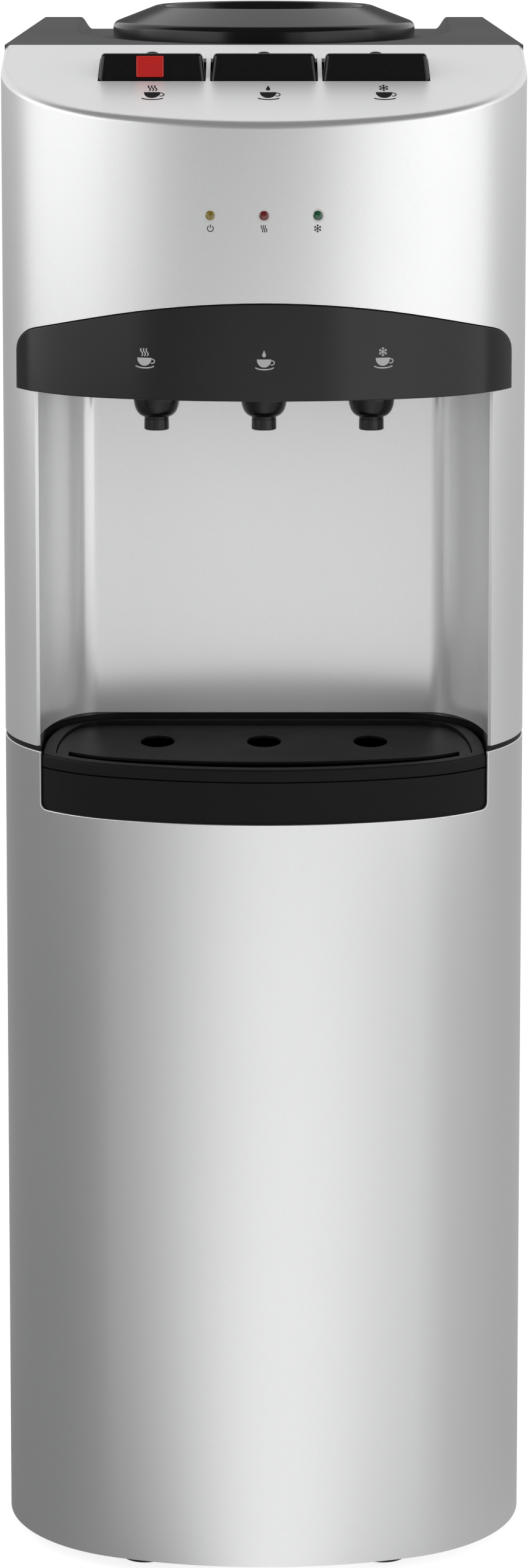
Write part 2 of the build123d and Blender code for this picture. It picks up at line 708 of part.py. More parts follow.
def make_tray_housing():
    belt = prism(bow_plan(SEAM_INSET, Y_SPLIT - FRONT_SHEET - FIT), Z_LOWER_TOP, Z_CASING)
    tail = WIDTH / 2 - FLANGE - FIT
    rear = Y_SPLIT + SHELF_TAIL
    belt += block(-tail, tail, Y_SPLIT - NICHE_CORNER, rear, Z_LOWER_TOP, Z_CASING)
    inside_panel = FRONT_SHEET + FIT
    pocket = niche_bow(-MOULD_WALL, inside_panel, Z_HOUSING, Z_CASING)
    pocket &= prism(bow_plan(APRON_INSET, Y_SPLIT + REACH), Z_HOUSING, Z_CASING)
    housing = belt + pocket
    housing -= niche_bow(0, APRON_INSET + MOULD_WALL, Z_HOUSING + MOULD_WALL, Z_CASING + REACH)
    return housing - prism(niche_plan(0), Z_LIP - TRAY_GROOVE, Z_CASING + REACH)


def make_drip_tray():
    rim = niche_bow(RUN_FIT, APRON_INSET, Z_LIP, Z_LOWER_TOP)
    skirt = APRON_INSET + MOULD_WALL + RUN_FIT
    basin = niche_bow(RUN_FIT, skirt, Z_TRAY_FLOOR, Z_LIP)
    tray = rim + basin
    inner = RUN_FIT + TRAY_WALL
    under_ledge = Z_GRID_SEAT - TRAY_WALL
    tray -= niche_bow(inner, skirt + TRAY_WALL, Z_TRAY_FLOOR + TRAY_WALL, under_ledge)
    seat = RUN_FIT + TRAY_RIM
    front = APRON_INSET + TRAY_RIM
    tray -= niche_bow(seat, front, Z_GRID_SEAT, Z_LOWER_TOP + REACH)
    throat = niche_bow(seat + GRID_LEDGE, front + GRID_LEDGE, under_ledge - FIT, Z_GRID_SEAT + FIT)
    half = GRID_SLOT_HALF - GRID_LEDGE
    grip = niche_bow(seat, front, under_ledge - FIT, Z_GRID_SEAT + FIT)
    throat += grip & block(-half, half, Y_FRONT, Y_TAP, Z_TRAY_FLOOR, Z_LOWER_TOP)
    return tray - throat


def make_drip_grid():
    edge = RUN_FIT + TRAY_RIM + GRID_FIT
    front = APRON_INSET + TRAY_RIM + GRID_FIT
    grid = niche_bow(edge, front, Z_GRID_SEAT, Z_GRID)
    grip = prism(bow_plan(0, Y_SPLIT), Z_GRID_SEAT - FIT, Z_GRID + FIT)
    grip -= prism(bow_plan(front + GRID_SLOT, Y_SPLIT), Z_GRID_SEAT - FIT, Z_GRID + FIT)
    grid -= grip & block(-GRID_SLOT_HALF, GRID_SLOT_HALF, Y_FRONT, Y_TAP, Z_GRID_SEAT - FIT, Z_GRID + FIT)
    drain_reach = DRAIN_SHARE * (Y_TAP - bow_y(TAP_PITCH, front + GRID_SLOT))
    for x in TAP_X.values():
        drain = Pos(x, Y_TAP) * Ellipse(DRAIN_WIDTH / 2, drain_reach)
        grid -= prism(drain, Z_GRID_SEAT - FIT, Z_GRID + FIT)
    top = grid.faces().sort_by(Axis.Z)[-1]
    mouths = top.edges().filter_by(lambda e: e.is_closed)
    return chamfer(mouths, DRAIN_CHAMFER)


def deck_facet(side):
    """Wedge outside the deck's side facet, which widens towards the back."""
    near = Vector(side * WIDTH / 2, Y_SPLIT, Z_DECK)
    far_low = Vector(side * WIDTH / 2, Y_SHELL_BACK, Z_SIDE_TOP + DECK_WALL)
    far_high = Vector(side * (WIDTH / 2 - DECK_TAPER), Y_SHELL_BACK, Z_DECK + DECK_RISE)
    normal = (far_low - near).cross(far_high - near) * side
    size = 2 * DEPTH
    facet = Plane(origin=near, x_dir=far_low - near, z_dir=normal)
    return facet * Pos(0, 0, size / 2) * Box(size, size, size)


def make_top_deck():
    half = WIDTH / 2
    high = Z_DECK + DECK_RISE
    deck = block(-half, half, Y_SPLIT, Y_SHELL_BACK, Z_SIDE_TOP, high + REACH)
    deck &= under_slope(Y_SPLIT, Z_DECK, Y_SHELL_BACK, high, 0)
    for side in LEFT_AND_RIGHT:
        deck -= deck_facet(side)
    dish_y = Y_SPLIT + DISH_MARGIN + DISH_RADIUS
    deck -= upright(DISH_RADIUS, 0, dish_y, Z_DECK, high + REACH)
    deck -= block(-DISH_RADIUS, DISH_RADIUS, dish_y, Y_BACK + REACH, Z_DECK, high + REACH)
    hollow = half - DECK_TAPER - DECK_WALL
    low = Z_SIDE_TOP - REACH
    deck -= block(-hollow, hollow, Y_SPLIT + DECK_WALL, Y_SHELL_BACK - DECK_WALL, low, Z_DECK - DECK_WALL)
    return deck - upright(DECK_HOLE_RADIUS, 0, Y_TANK, low, high)


def make_bottle_collar():
    """Outer ring of the collar: upright skirt and sloping shoulder up to the rim."""
    rim = Z_DECK + COLLAR_RISE
    skirt_top = Z_DECK + COLLAR_SKIRT
    skirt_inner = COLLAR_RADIUS - MOULD_WALL
    crest = RIM_RADIUS - RIM_WIDTH / 2
    points = [
        (COLLAR_RADIUS, Z_DECK),
        (COLLAR_RADIUS, skirt_top),
        (RIM_RADIUS, rim),
        (crest, rim),
        (crest, rim - RIM_ROOT),
        (skirt_inner, skirt_top - MOULD_WALL),
        (skirt_inner, Z_DECK),
    ]
    collar = turned(points, 0, Y_TANK)
    shoulder = collar.edges().filter_by(GeomType.CIRCLE).filter_by(
        lambda e: abs(e.radius - COLLAR_RADIUS) < FIT and e.center().Z > Z_DECK + FIT
    )
    return fillet(shoulder, COLLAR_ROUND)


def make_collar_funnel():
    """Bowl that leads the bottle neck from the rim down to the throat."""
    rim = Z_DECK + COLLAR_RISE
    throat = Z_DECK - THROAT_TOP
    run = RIM_RADIUS - RIM_WIDTH - THROAT_RADIUS
    rise = rim - throat
    wall = MOULD_WALL * math.hypot(run, rise) / rise
    crest = RIM_RADIUS - RIM_WIDTH / 2
    return turned([
        (crest, rim - RIM_ROOT),
        (crest, rim),
        (RIM_RADIUS - RIM_WIDTH, rim),
        (THROAT_RADIUS, throat),
        (THROAT_RADIUS + wall, throat),
    ], 0, Y_TANK)


def make_collar_throat():
    """Tube that holds the bottle neck, reaching down into the cold tank."""
    throat = Z_DECK - THROAT_TOP
    end = Z_DECK - THROAT_END
    tube = upright(THROAT_RADIUS + MOULD_WALL, 0, Y_TANK, end, throat)
    return tube - upright(THROAT_RADIUS, 0, Y_TANK, end - FIT, throat + FIT)


def make_tap(x):
    top = Z_TAP_TOP
    gland = ROD_RADIUS + FIT
    seat_top = Z_SEAT + SEAT_WALL
    spout = Z_CEILING - SPOUT_DROP
    body = turned([
        (SPOUT_BORE, spout),
        (SPOUT_RADIUS, spout),
        (SPOUT_RADIUS, Z_TAP),
        (TAP_RADIUS, Z_TAP),
        (TAP_RADIUS, top),
        (gland, top),
        (gland, Z_CHAMBER_TOP),
        (CHAMBER_RADIUS, Z_CHAMBER_TOP),
        (CHAMBER_RADIUS, seat_top),
        (SEAT_RADIUS, seat_top),
        (SEAT_RADIUS, Z_SEAT),
        (CHAMBER_RADIUS, Z_SEAT),
        (CHAMBER_RADIUS, Z_CHAMBER),
        (SPOUT_BORE, Z_CHAMBER),
    ], x, Y_TAP)
    body += lengthwise(STUB_RADIUS, x, Z_STUB, Y_TAP + (TAP_RADIUS + CHAMBER_RADIUS) / 2, Y_STUB_END)
    return body - lengthwise(STUB_BORE, x, Z_STUB, Y_TAP + ROD_RADIUS, Y_STUB_END + FIT)


def make_nozzle_bells():
    bore = SPOUT_RADIUS + FIT
    tip = Z_CEILING - BELL_DROP
    profile = make_face([
        Line((bore, tip), (BELL_TIP_RADIUS, tip)),
        ThreePointArc(
            (BELL_TIP_RADIUS, tip), (BELL_WAIST_RADIUS, tip + BELL_WAIST), (BELL_RADIUS, tip + BELL_SHOULDER)
        ),
        Line((BELL_RADIUS, tip + BELL_SHOULDER), (BELL_RADIUS, Z_CEILING)),
        Line((BELL_RADIUS, Z_CEILING), (bore, Z_CEILING)),
        Line((bore, Z_CEILING), (bore, tip)),
    ])
    bell = revolve(Plane.XZ * profile, axis=Axis.Z)
    return group([Pos(x, Y_TAP, 0) * bell for x in TAP_X.values()])


def make_push_rod(x):
    seal_top = Z_SEAT - FIT
    seal = seal_top - SEAL_HEIGHT
    collar = Z_TAP_TOP + BELLOWS_LENGTH + 2 * SEAT_FIT
    tip = Z_PUSHER - FIT
    dome = tip - ROD_RADIUS
    bulge = ROD_RADIUS * math.sqrt(0.5)
    outline = Polyline(
        (0, tip),
        (0, seal),
        (SEAL_RADIUS, seal),
        (SEAL_RADIUS, seal_top),
        (ROD_RADIUS, seal_top),
        (ROD_RADIUS, collar),
        (ROD_COLLAR_RADIUS, collar),
        (ROD_COLLAR_RADIUS, collar + ROD_COLLAR_HEIGHT),
        (ROD_RADIUS, collar + ROD_COLLAR_HEIGHT),
        (ROD_RADIUS, dome),
    )
    tip_arc = ThreePointArc((ROD_RADIUS, dome), (bulge, dome + bulge), (0, tip))
    profile = make_face(outline.edges() + [tip_arc])
    return Pos(x, Y_TAP, 0) * revolve(Plane.XZ * profile, axis=Axis.Z)


def make_bellows(x):
    foot = Z_TAP_TOP + SEAT_FIT
    count = 2 * BELLOWS_FOLDS
    outside = [
        (BELLOWS_INNER if step % 2 else BELLOWS_OUTER, foot + BELLOWS_LENGTH * step / count)
        for step in range(count + 1)
    ]
    inside = [(r - BELLOWS_WALL, z) for r, z in reversed(outside)]
    return turned(outside + inside, x, Y_TAP)


def key_cap(wall, top):
    """Drafted key block about the origin of its plan, drawn in by wall and closed at top."""
    spread = 2 * math.tan(math.radians(KEY_DRAFT)) * (Z_KEY_FRONT - Z_KEY_SKIRT)
    width = KEY_WIDTH + spread - 2 * wall
    length = KEY_LENGTH + spread - 2 * wall
    plan = RectangleRounded(width, length, KEY_CORNER)
    return Pos(0, 0, Z_KEY_SKIRT) * extrude(plan, amount=top - Z_KEY_SKIRT, taper=KEY_DRAFT)


def lock_profile(front, back, margin):
    """Side view of the child lock or its pocket, parallel to the key's sloping front."""
    lean = math.tan(math.radians(KEY_DRAFT))
    low = Z_KEY_FRONT + LOCK_LIFT - margin
    high = Z_KEY_FRONT + LOCK_LIFT + LOCK_HEIGHT + margin
    shift = [(z - Z_KEY_FRONT) * lean for z in (low, high)]
    return [
        (Y_KEY_FRONT + front + shift[0], low),
        (Y_KEY_FRONT + back + shift[1], low),
        (Y_KEY_FRONT + back + shift[1], high),
        (Y_KEY_FRONT + front + shift[1], high),
    ]


def lock_block(front, back, margin):
    """Child-lock solid between two depths behind the key's front."""
    centre = KEY_X["hot"] + LOCK_OFFSET
    half = LOCK_WIDTH / 2 + margin
    return side_prism(lock_profile(front, back, margin), centre - half, centre + half)


def make_key(name):
    x = KEY_X[name]
    y = (Y_KEY_FRONT + Y_KEY_REAR) / 2
    cap = key_cap(0, Z_KEY_TOP)
    crown = cap.faces().sort_by(Axis.Z)[-1]
    cap = fillet(crown.edges(), KEY_ROUND)
    cap -= key_cap(KEY_WALL, Z_KEY_TOP - KEY_WALL)
    key = Pos(x, y, 0) * cap
    ceiling = Z_KEY_TOP - KEY_WALL / 2
    for side in LEFT_AND_RIGHT:
        x0 = x + side * LEG_X - LEG_WIDTH / 2
        x1 = x0 + LEG_WIDTH
        leg = block(x0, x1, Y_HINGE - LEG_RADIUS, Y_HINGE + LEG_RADIUS, Z_HINGE, ceiling)
        leg += crosswise(LEG_RADIUS, Y_HINGE, Z_HINGE, x0, x1)
        key += leg
    key -= crosswise(HINGE_RADIUS + FIT, Y_HINGE, Z_HINGE, x - KEY_WIDTH / 2, x + KEY_WIDTH / 2)
    key += upright(PUSHER_RADIUS, TAP_X[name], Y_TAP, Z_PUSHER, ceiling)
    if name == "hot":
        back = LOCK_DEPTH - LOCK_PROUD + LOCK_TRAVEL + FIT
        key += lock_block(KEY_WALL / 2, back + LOCK_WALL, FIT + LOCK_WALL) & under_key_top()
        key -= lock_block(-LOCK_DEPTH, back, FIT)
    return key


def under_key_top():
    """Space under the top wall of the hot key."""
    half = KEY_WIDTH / 2
    centre = KEY_X["hot"]
    return block(centre - half, centre + half, Y_FRONT, Y_SPLIT, Z_KEY_SKIRT, Z_KEY_TOP - KEY_WALL / 2)


def make_child_lock():
    return lock_block(-LOCK_PROUD, LOCK_DEPTH - LOCK_PROUD, 0)


def make_key_frame():
    end = KEY_PITCH + FRAME_END
    front = Y_TAP - FRAME_EDGE
    rear = Y_HINGE + FRAME_EDGE
    frame = block(-end, end, front, rear, Z_FRAME - FRAME_SHEET, Z_FRAME)
    gap = LEG_WIDTH / 2 + RUN_FIT
    for x in KEY_X.values():
        for side in LEFT_AND_RIGHT:
            x0, x1 = sorted((x + side * (LEG_X + gap), x + side * (LEG_X + gap + EAR_WIDTH)))
            ear = block(x0, x1, Y_HINGE - LEG_RADIUS, Y_HINGE + LEG_RADIUS, Z_FRAME - FRAME_SHEET, Z_HINGE)
            frame += ear + crosswise(LEG_RADIUS, Y_HINGE, Z_HINGE, x0, x1)
    posts = []
    for side in LEFT_AND_RIGHT:
        x0, x1 = sorted((side * end, side * (end - POST_WIDTH)))
        for y0 in (front, rear - POST_WIDTH):
            posts.append(block(x0, x1, y0, y0 + POST_WIDTH, Z_FRAME - FRAME_SHEET, Z_DECK + REACH))
    for post in posts:
        frame += post & under_panel(MOULD_WALL)
    frame -= crosswise(HINGE_RADIUS + SEAT_FIT, Y_HINGE, Z_HINGE, -end, end)
    for x in TAP_X.values():
        frame -= upright(ROD_RADIUS + FIT, x, Y_TAP, Z_FRAME - REACH, Z_FRAME + FIT)
    return frame


def make_hinge_rod():
    half = KEY_PITCH + LEG_X + LEG_WIDTH + EAR_WIDTH + RUN_FIT
    return crosswise(HINGE_RADIUS, Y_HINGE, Z_HINGE, -half, half)


def make_led_board():
    half = BOARD_HEIGHT / 2
    return block(-BOARD_HALF, BOARD_HALF, Y_BOARD, Y_BOARD + BOARD_SHEET, Z_LAMP - half, Z_LAMP + half)


def make_lamp(name):
    x = LAMP_X[name]
    tip = bow_y(x, 0) - LAMP_PROUD
    lamp = lengthwise(LAMP_RADIUS, x, Z_LAMP, tip, Y_BOARD)
    lens = lamp.faces().sort_by(Axis.Y)[0]
    return fillet(lens.edges(), LAMP_PROUD)


def make_lamp_bezels():
    rings = []
    for x in LAMP_X.values():
        face = bow_y(x, 0) - BEZEL_PROUD
        ring = lengthwise(BEZEL_RADIUS, x, Z_LAMP, face, face + BEZEL_DEPTH)
        rings.append(ring - lengthwise(BEZEL_BORE, x, Z_LAMP, face - FIT, face + BEZEL_DEPTH + FIT))
    return group(rings)


def make_cold_tank():
    inner = TANK_RADIUS - TANK_WALL
    tank = upright(TANK_RADIUS, 0, Y_TANK, Z_TANK, Z_TANK_TOP)
    mid = Y_TANK - TANK_RADIUS / 2
    tank += lengthwise(STUB_RADIUS, 0, Z_ROOM_STUB, Y_TANK_STUB, mid)
    tank += lengthwise(STUB_RADIUS, COLD_STUB_X, Z_COLD_STUB, Y_TANK_STUB, mid)
    tank += upright(STUB_RADIUS, 0, Y_TANK + FEED_STUB_Y, Z_FOAM - FIT, Z_TANK + FIT)
    tank -= upright(inner, 0, Y_TANK, Z_TANK + TANK_WALL, Z_TANK_TOP + FIT)
    tank -= lengthwise(STUB_BORE, 0, Z_ROOM_STUB, Y_TANK_STUB - FIT, mid)
    tank -= lengthwise(STUB_BORE, COLD_STUB_X, Z_COLD_STUB, Y_TANK_STUB - FIT, mid)
    return tank - upright(STUB_BORE, 0, Y_TANK + FEED_STUB_Y, Z_FOAM - REACH, Z_TANK + TANK_RADIUS)


def make_tank_foam():
    top = Z_TANK_TOP - FOAM_TOP_DROP
    hole = STUB_RADIUS + SEAT_FIT
    foam = upright(FOAM_RADIUS, 0, Y_TANK, Z_FOAM, top)
    foam -= upright(TANK_RADIUS + FOAM_GAP, 0, Y_TANK, Z_TANK, top + FIT)
    foam -= lengthwise(hole, 0, Z_ROOM_STUB, Y_FOAM_FRONT - FIT, Y_TANK)
    foam -= lengthwise(hole, COLD_STUB_X, Z_COLD_STUB, Y_FOAM_FRONT - FIT, Y_TANK)
    foam -= upright(hole, 0, Y_TANK + FEED_STUB_Y, Z_FOAM - FIT, Z_TANK + FIT)
    for z in (Z_COIL, Z_COIL_TOP):
        foam -= crosswise(LINE_RADIUS + SEAT_FIT, Y_TANK, z, -FOAM_RADIUS - FIT, -TANK_RADIUS)
    left = foam & block(-WIDTH, 0, -DEPTH, DEPTH, 0, Z_DECK)
    right = foam & block(0, WIDTH, -DEPTH, DEPTH, 0, Z_DECK)
    return group([left, right])


def make_evaporator():
    radius = TANK_RADIUS + FOAM_GAP / 2
    path = Helix(pitch=COIL_PITCH, height=COIL_PITCH * COIL_TURNS, radius=radius)
    start = Plane(origin=path @ 0, x_dir=(1, 0, 0), z_dir=path % 0)
    strip = sweep(start * Rectangle(COIL_THICKNESS, COIL_WIDTH), path=path, is_frenet=True)
    return Pos(0, Y_TANK, Z_COIL) * Rot(0, 0, 180) * strip


def make_baffle():
    disc = Z_TANK_TOP - BAFFLE_DROP
    plate = turned([
        (0, Z_TANK + TANK_WALL),
        (BAFFLE_STEM_RADIUS, Z_TANK + TANK_WALL),
        (BAFFLE_STEM_RADIUS, disc),
        (BAFFLE_RADIUS, disc),
        (BAFFLE_RADIUS, disc + BAFFLE_SHEET),
        (0, disc + BAFFLE_SHEET),
    ], 0, Y_TANK)
    return plate


def shelf(top, rear_gap):
    """Cross shelf between the side panels with folded-down ends."""
    half = WIDTH / 2 - SHEET - SEAT_FIT
    front = Y_NICHE + SHELF_FRONT_GAP
    rear = Y_WEB - rear_gap
    plate = block(-half, half, front, rear, top - SHELF_SHEET, top)
    for side in LEFT_AND_RIGHT:
        x0, x1 = sorted((side * half, side * (half - SHELF_SHEET)))
        plate += block(x0, x1, front, rear, top - SHELF_FLANGE, top)
    return plate


def make_tank_shelves():
    upper = shelf(Z_FOAM, FIT)
    upper -= upright(STUB_RADIUS + FIT, 0, Y_TANK + FEED_STUB_Y, Z_FOAM - REACH, Z_FOAM + FIT)
    upper -= upright(LINE_HOLE_RADIUS, X_DOWN_LINE, Y_TANK, Z_FOAM - REACH, Z_FOAM + FIT)
    lower = shelf(Z_HOT_FOAM, FIT)
    lower -= upright(LINE_HOLE_RADIUS, X_DOWN_LINE, Y_TANK, Z_HOT_FOAM - REACH, Z_HOT_FOAM + FIT)
    lower -= upright(LINE_HOLE_RADIUS, LINE_X, Y_LINE, Z_HOT_FOAM - REACH, Z_HOT_FOAM + FIT)
    return group([upper, lower])


def make_hot_tank():
    wall = TANK_WALL
    x, y = -HOT_STUB_X, Y_TANK + HOT_STUB_Y
    feed = Y_TANK + FEED_STUB_Y
    rear = Y_WEB + SHEET + DRAIN_PIPE_PROUD
    mid = Y_TANK + HOT_RADIUS / 2
    tank = upright(HOT_RADIUS, 0, Y_TANK, Z_HOT, Z_HOT_TOP)
    tank += upright(STUB_RADIUS, x, y, Z_HOT_TOP - FIT, Z_HOT_STUB)
    tank += upright(STUB_RADIUS, 0, feed, Z_HOT_TOP - FIT, Z_HOT_STUB)
    tank += lengthwise(DRAIN_PIPE_RADIUS, 0, Z_DRAIN, mid, rear)
    tank -= upright(HOT_RADIUS - wall, 0, Y_TANK, Z_HOT + wall, Z_HOT_TOP - wall)
    tank -= upright(STUB_BORE, x, y, Z_HOT_TOP - REACH, Z_HOT_STUB + FIT)
    tank -= upright(STUB_BORE, 0, feed, Z_HOT_TOP - REACH, Z_HOT_STUB + FIT)
    return tank - lengthwise(DRAIN_PIPE_BORE, 0, Z_DRAIN, mid, rear + FIT)


def make_hot_foam():
    outer = HOT_RADIUS + HOT_FOAM_WALL
    top = Z_HOT_TOP + HOT_FOAM_WALL
    hole = STUB_RADIUS + SEAT_FIT
    foam = upright(outer, 0, Y_TANK, Z_HOT_FOAM, top)
    foam -= upright(HOT_RADIUS + SEAT_FIT, 0, Y_TANK, Z_HOT, Z_HOT_TOP + SEAT_FIT)
    ring = HOT_RADIUS + HEATER_WALL + FIT
    foam -= upright(ring, 0, Y_TANK, Z_HOT + HEATER_LIFT - FIT, Z_HOT + HEATER_LIFT + HEATER_HEIGHT + FIT)
    foam -= upright(hole, -HOT_STUB_X, Y_TANK + HOT_STUB_Y, Z_HOT_TOP - FIT, top + FIT)
    foam -= upright(hole, 0, Y_TANK + FEED_STUB_Y, Z_HOT_TOP - FIT, top + FIT)
    for side in LEFT_AND_RIGHT:
        place = (side * THERMOSTAT_X, Y_TANK)
        foam -= upright(THERMOSTAT_RADIUS + FIT, place[0], place[1], Z_HOT_TOP - FIT, top + FIT)
    foam -= lengthwise(DRAIN_PIPE_RADIUS + SEAT_FIT, 0, Z_DRAIN, Y_TANK, Y_TANK + outer)
    left = foam & block(-WIDTH, 0, -DEPTH, DEPTH, 0, Z_DECK)
    right = foam & block(0, WIDTH, -DEPTH, DEPTH, 0, Z_DECK)
    return group([left, right])


def make_band_heater():
    low = Z_HOT + HEATER_LIFT
    ring = upright(HOT_RADIUS + HEATER_WALL, 0, Y_TANK, low, low + HEATER_HEIGHT)
    return ring - upright(HOT_RADIUS + SEAT_FIT, 0, Y_TANK, low - FIT, low + HEATER_HEIGHT + FIT)


def make_thermostats():
    top = Z_HOT_TOP + THERMOSTAT_HEIGHT
    places = [side * THERMOSTAT_X for side in LEFT_AND_RIGHT]
    return group([upright(THERMOSTAT_RADIUS, x, Y_TANK, Z_HOT_TOP, top) for x in places])


def make_room_hose():
    start = (0, Y_TANK_STUB, Z_ROOM_STUB)
    points = [start, (0, Y_LANE, Z_ROOM_STUB), (0, Y_LANE, Z_STUB), (0, Y_STUB_END, Z_STUB)]
    return bent_rod(points, HOSE_BEND, STUB_RADIUS)


def make_cold_hose():
    x = TAP_X["cold"]
    points = [
        (COLD_STUB_X, Y_TANK_STUB, Z_COLD_STUB),
        (COLD_STUB_X, Y_LANE, Z_COLD_STUB),
        (x, Y_LANE, Z_COLD_STUB),
        (x, Y_LANE, Z_STUB),
        (x, Y_STUB_END, Z_STUB),
    ]
    return bent_rod(points, HOSE_BEND, STUB_RADIUS)


def make_hot_tank_hoses():
    """Hose from the hot tank to its tap, and the feed from the cold tank above."""
    x = TAP_X["hot"]
    turn = Z_HOT_STUB + HOSE_RISE
    outlet = bent_rod([
        (-HOT_STUB_X, Y_TANK + HOT_STUB_Y, Z_HOT_STUB),
        (-HOT_STUB_X, Y_TANK + HOT_STUB_Y, turn),
        (x, Y_LANE, turn),
        (x, Y_LANE, Z_STUB),
        (x, Y_STUB_END, Z_STUB),
    ], HOSE_BEND, STUB_RADIUS)
    feed = upright(STUB_RADIUS, 0, Y_TANK + FEED_STUB_Y, Z_HOT_STUB, Z_FOAM - FIT)
    return group([outlet, feed])


def make_drain_cap():
    end = Y_WEB + SHEET + DRAIN_PIPE_PROUD
    cap = lengthwise(DRAIN_CAP_RADIUS, 0, Z_DRAIN, Y_WEB + SHEET + FIT, end + DRAIN_CAP_WALL)
    return cap - lengthwise(DRAIN_PIPE_RADIUS + SEAT_FIT, 0, Z_DRAIN, Y_WEB, end + SEAT_FIT)


def make_compressor():
    foot = Z_SOLE + SOLE_SHEET
    can = upright(COMPRESSOR_RADIUS, 0, Y_COMPRESSOR, foot, foot + COMPRESSOR_HEIGHT)
    can = fillet(can.edges().filter_by(GeomType.CIRCLE).sort_by(Axis.Z)[-1], COMPRESSOR_DOME)
    can = fillet(can.edges().filter_by(GeomType.CIRCLE).sort_by(Axis.Z)[0], COMPRESSOR_BELLY)
    seam = foot + COMPRESSOR_SEAM_LIFT
    can += upright(COMPRESSOR_SEAM_RADIUS, 0, Y_COMPRESSOR, seam, seam + COMPRESSOR_SEAM_HEIGHT)
    relay = COMPRESSOR_RADIUS - RELAY_DEPTH / 2
    low = seam + COMPRESSOR_SEAM_HEIGHT
    y0, y1 = Y_COMPRESSOR - RELAY_WIDTH / 2, Y_COMPRESSOR + RELAY_WIDTH / 2
    can += block(relay, relay + RELAY_DEPTH, y0, y1, low - RELAY_HEIGHT, low)
    can += lengthwise(LINE_RADIUS, 0, Z_LINE, Y_COMPRESSOR, Y_DISCHARGE)
    can += crosswise(LINE_RADIUS, Y_TANK, Z_LINE, X_SUCTION, 0)
    half_x, half_y = SOLE_LENGTH / 2, SOLE_WIDTH / 2
    sole = block(-half_x, half_x, Y_COMPRESSOR - half_y, Y_COMPRESSOR + half_y, Z_SOLE, foot + FIT)
    for x, y in sole_places():
        sole -= upright(GROMMET_NECK + FIT, x, y, Z_SOLE - FIT, foot + REACH)
    return can + sole


def make_grommets():
    low = Z_BASE - FOOT_HEIGHT / 2
    top = Z_SOLE + SOLE_SHEET
    profile = [
        (0, low),
        (GROMMET_NECK, low),
        (GROMMET_NECK, Z_FLOOR_PAN),
        (GROMMET_RADIUS, Z_FLOOR_PAN),
        (GROMMET_RADIUS, Z_SOLE),
        (GROMMET_NECK, Z_SOLE),
        (GROMMET_NECK, top + FIT),
        (GROMMET_RADIUS, top + FIT),
        (GROMMET_RADIUS, top + SOLE_SHEET),
        (0, top + SOLE_SHEET),
    ]
    return group([turned(profile, x, y) for x, y in sole_places()])


def make_condenser():
    half = CONDENSER_HALF
    edges = []
    side = 1
    for run in range(CONDENSER_RUNS):
        z = CONDENSER_Z + run * CONDENSER_PITCH
        end = (-side * half, Y_CONDENSER, z)
        edges.append(Line((side * half, Y_CONDENSER, z), end))
        if run < CONDENSER_RUNS - 1:
            crest = (-side * (half + CONDENSER_PITCH / 2), Y_CONDENSER, z + CONDENSER_PITCH / 2)
            edges.append(ThreePointArc(end, crest, (end[0], Y_CONDENSER, z + CONDENSER_PITCH)))
        side = -side
    path = Wire(edges)
    section = Plane(origin=path @ 0, z_dir=path % 0) * Circle(CONDENSER_TUBE)
    pieces = [sweep(section, path=path)]
    low = CONDENSER_Z - CONDENSER_OVERHANG
    high = Z_CONDENSER_TOP + CONDENSER_OVERHANG
    stand = CONDENSER_TUBE + CONDENSER_WIRE + SEAT_FIT / 2
    for wire in range(CONDENSER_WIRE_COUNT):
        x = (wire - (CONDENSER_WIRE_COUNT - 1) / 2) * CONDENSER_WIRE_PITCH
        for layer in LEFT_AND_RIGHT:
            pieces.append(upright(CONDENSER_WIRE, x, Y_CONDENSER + layer * stand, low, high))
    return group(pieces)


def make_condenser_clips():
    clips = []
    x = (CONDENSER_WIRE_COUNT // 2 - 1 / 2) * CONDENSER_WIRE_PITCH
    reach = Y_CONDENSER - CONDENSER_TUBE - SEAT_FIT
    for run in (1, CONDENSER_RUNS - 2):
        z = CONDENSER_Z + run * CONDENSER_PITCH
        for side in LEFT_AND_RIGHT:
            centre = side * x
            clip = block(
                centre - CLIP_WIDTH / 2, centre + CLIP_WIDTH / 2,
                Y_WEB + SHEET, reach + 2 * CONDENSER_TUBE,
                z - CLIP_HEIGHT, z + CLIP_HEIGHT,
            )
            hook = block(
                centre - CLIP_WIDTH, centre + CLIP_WIDTH,
                reach - CONDENSER_TUBE, Y_BACK,
                z - CONDENSER_TUBE - SEAT_FIT, z + CONDENSER_TUBE + SEAT_FIT,
            )
            clips.append(clip - hook)
    return group(clips)


def make_refrigerant_lines():
    coil = -TANK_RADIUS - FOAM_GAP / 2 - COIL_THICKNESS / 2 - SEAT_FIT
    discharge = bent_rod([
        (0, Y_DISCHARGE, Z_LINE),
        (0, Y_LINE, Z_LINE),
        (LINE_X, Y_LINE, Z_LINE),
        (LINE_X, Y_LINE, CONDENSER_Z),
        (LINE_X, Y_CONDENSER, CONDENSER_Z),
        (CONDENSER_HALF, Y_CONDENSER, CONDENSER_Z),
    ], LINE_REACH / 4, LINE_RADIUS)
    suction = bent_rod([
        (coil, Y_TANK, Z_COIL),
        (X_DOWN_LINE, Y_TANK, Z_COIL),
        (X_DOWN_LINE, Y_TANK, Z_LINE),
        (X_SUCTION, Y_TANK, Z_LINE),
    ], LINE_BEND, LINE_RADIUS)
    liquid = bent_rod([
        (-CONDENSER_HALF, Y_CONDENSER, Z_CONDENSER_TOP),
        (-LINE_X, Y_CONDENSER, Z_CONDENSER_TOP),
        (-LINE_X, Y_TANK, Z_CONDENSER_TOP),
        (-LINE_X, Y_TANK, Z_COIL_TOP),
        (coil, Y_TANK, Z_COIL_TOP),
    ], LINE_BEND, LINE_RADIUS)
    return group([discharge, suction, liquid])


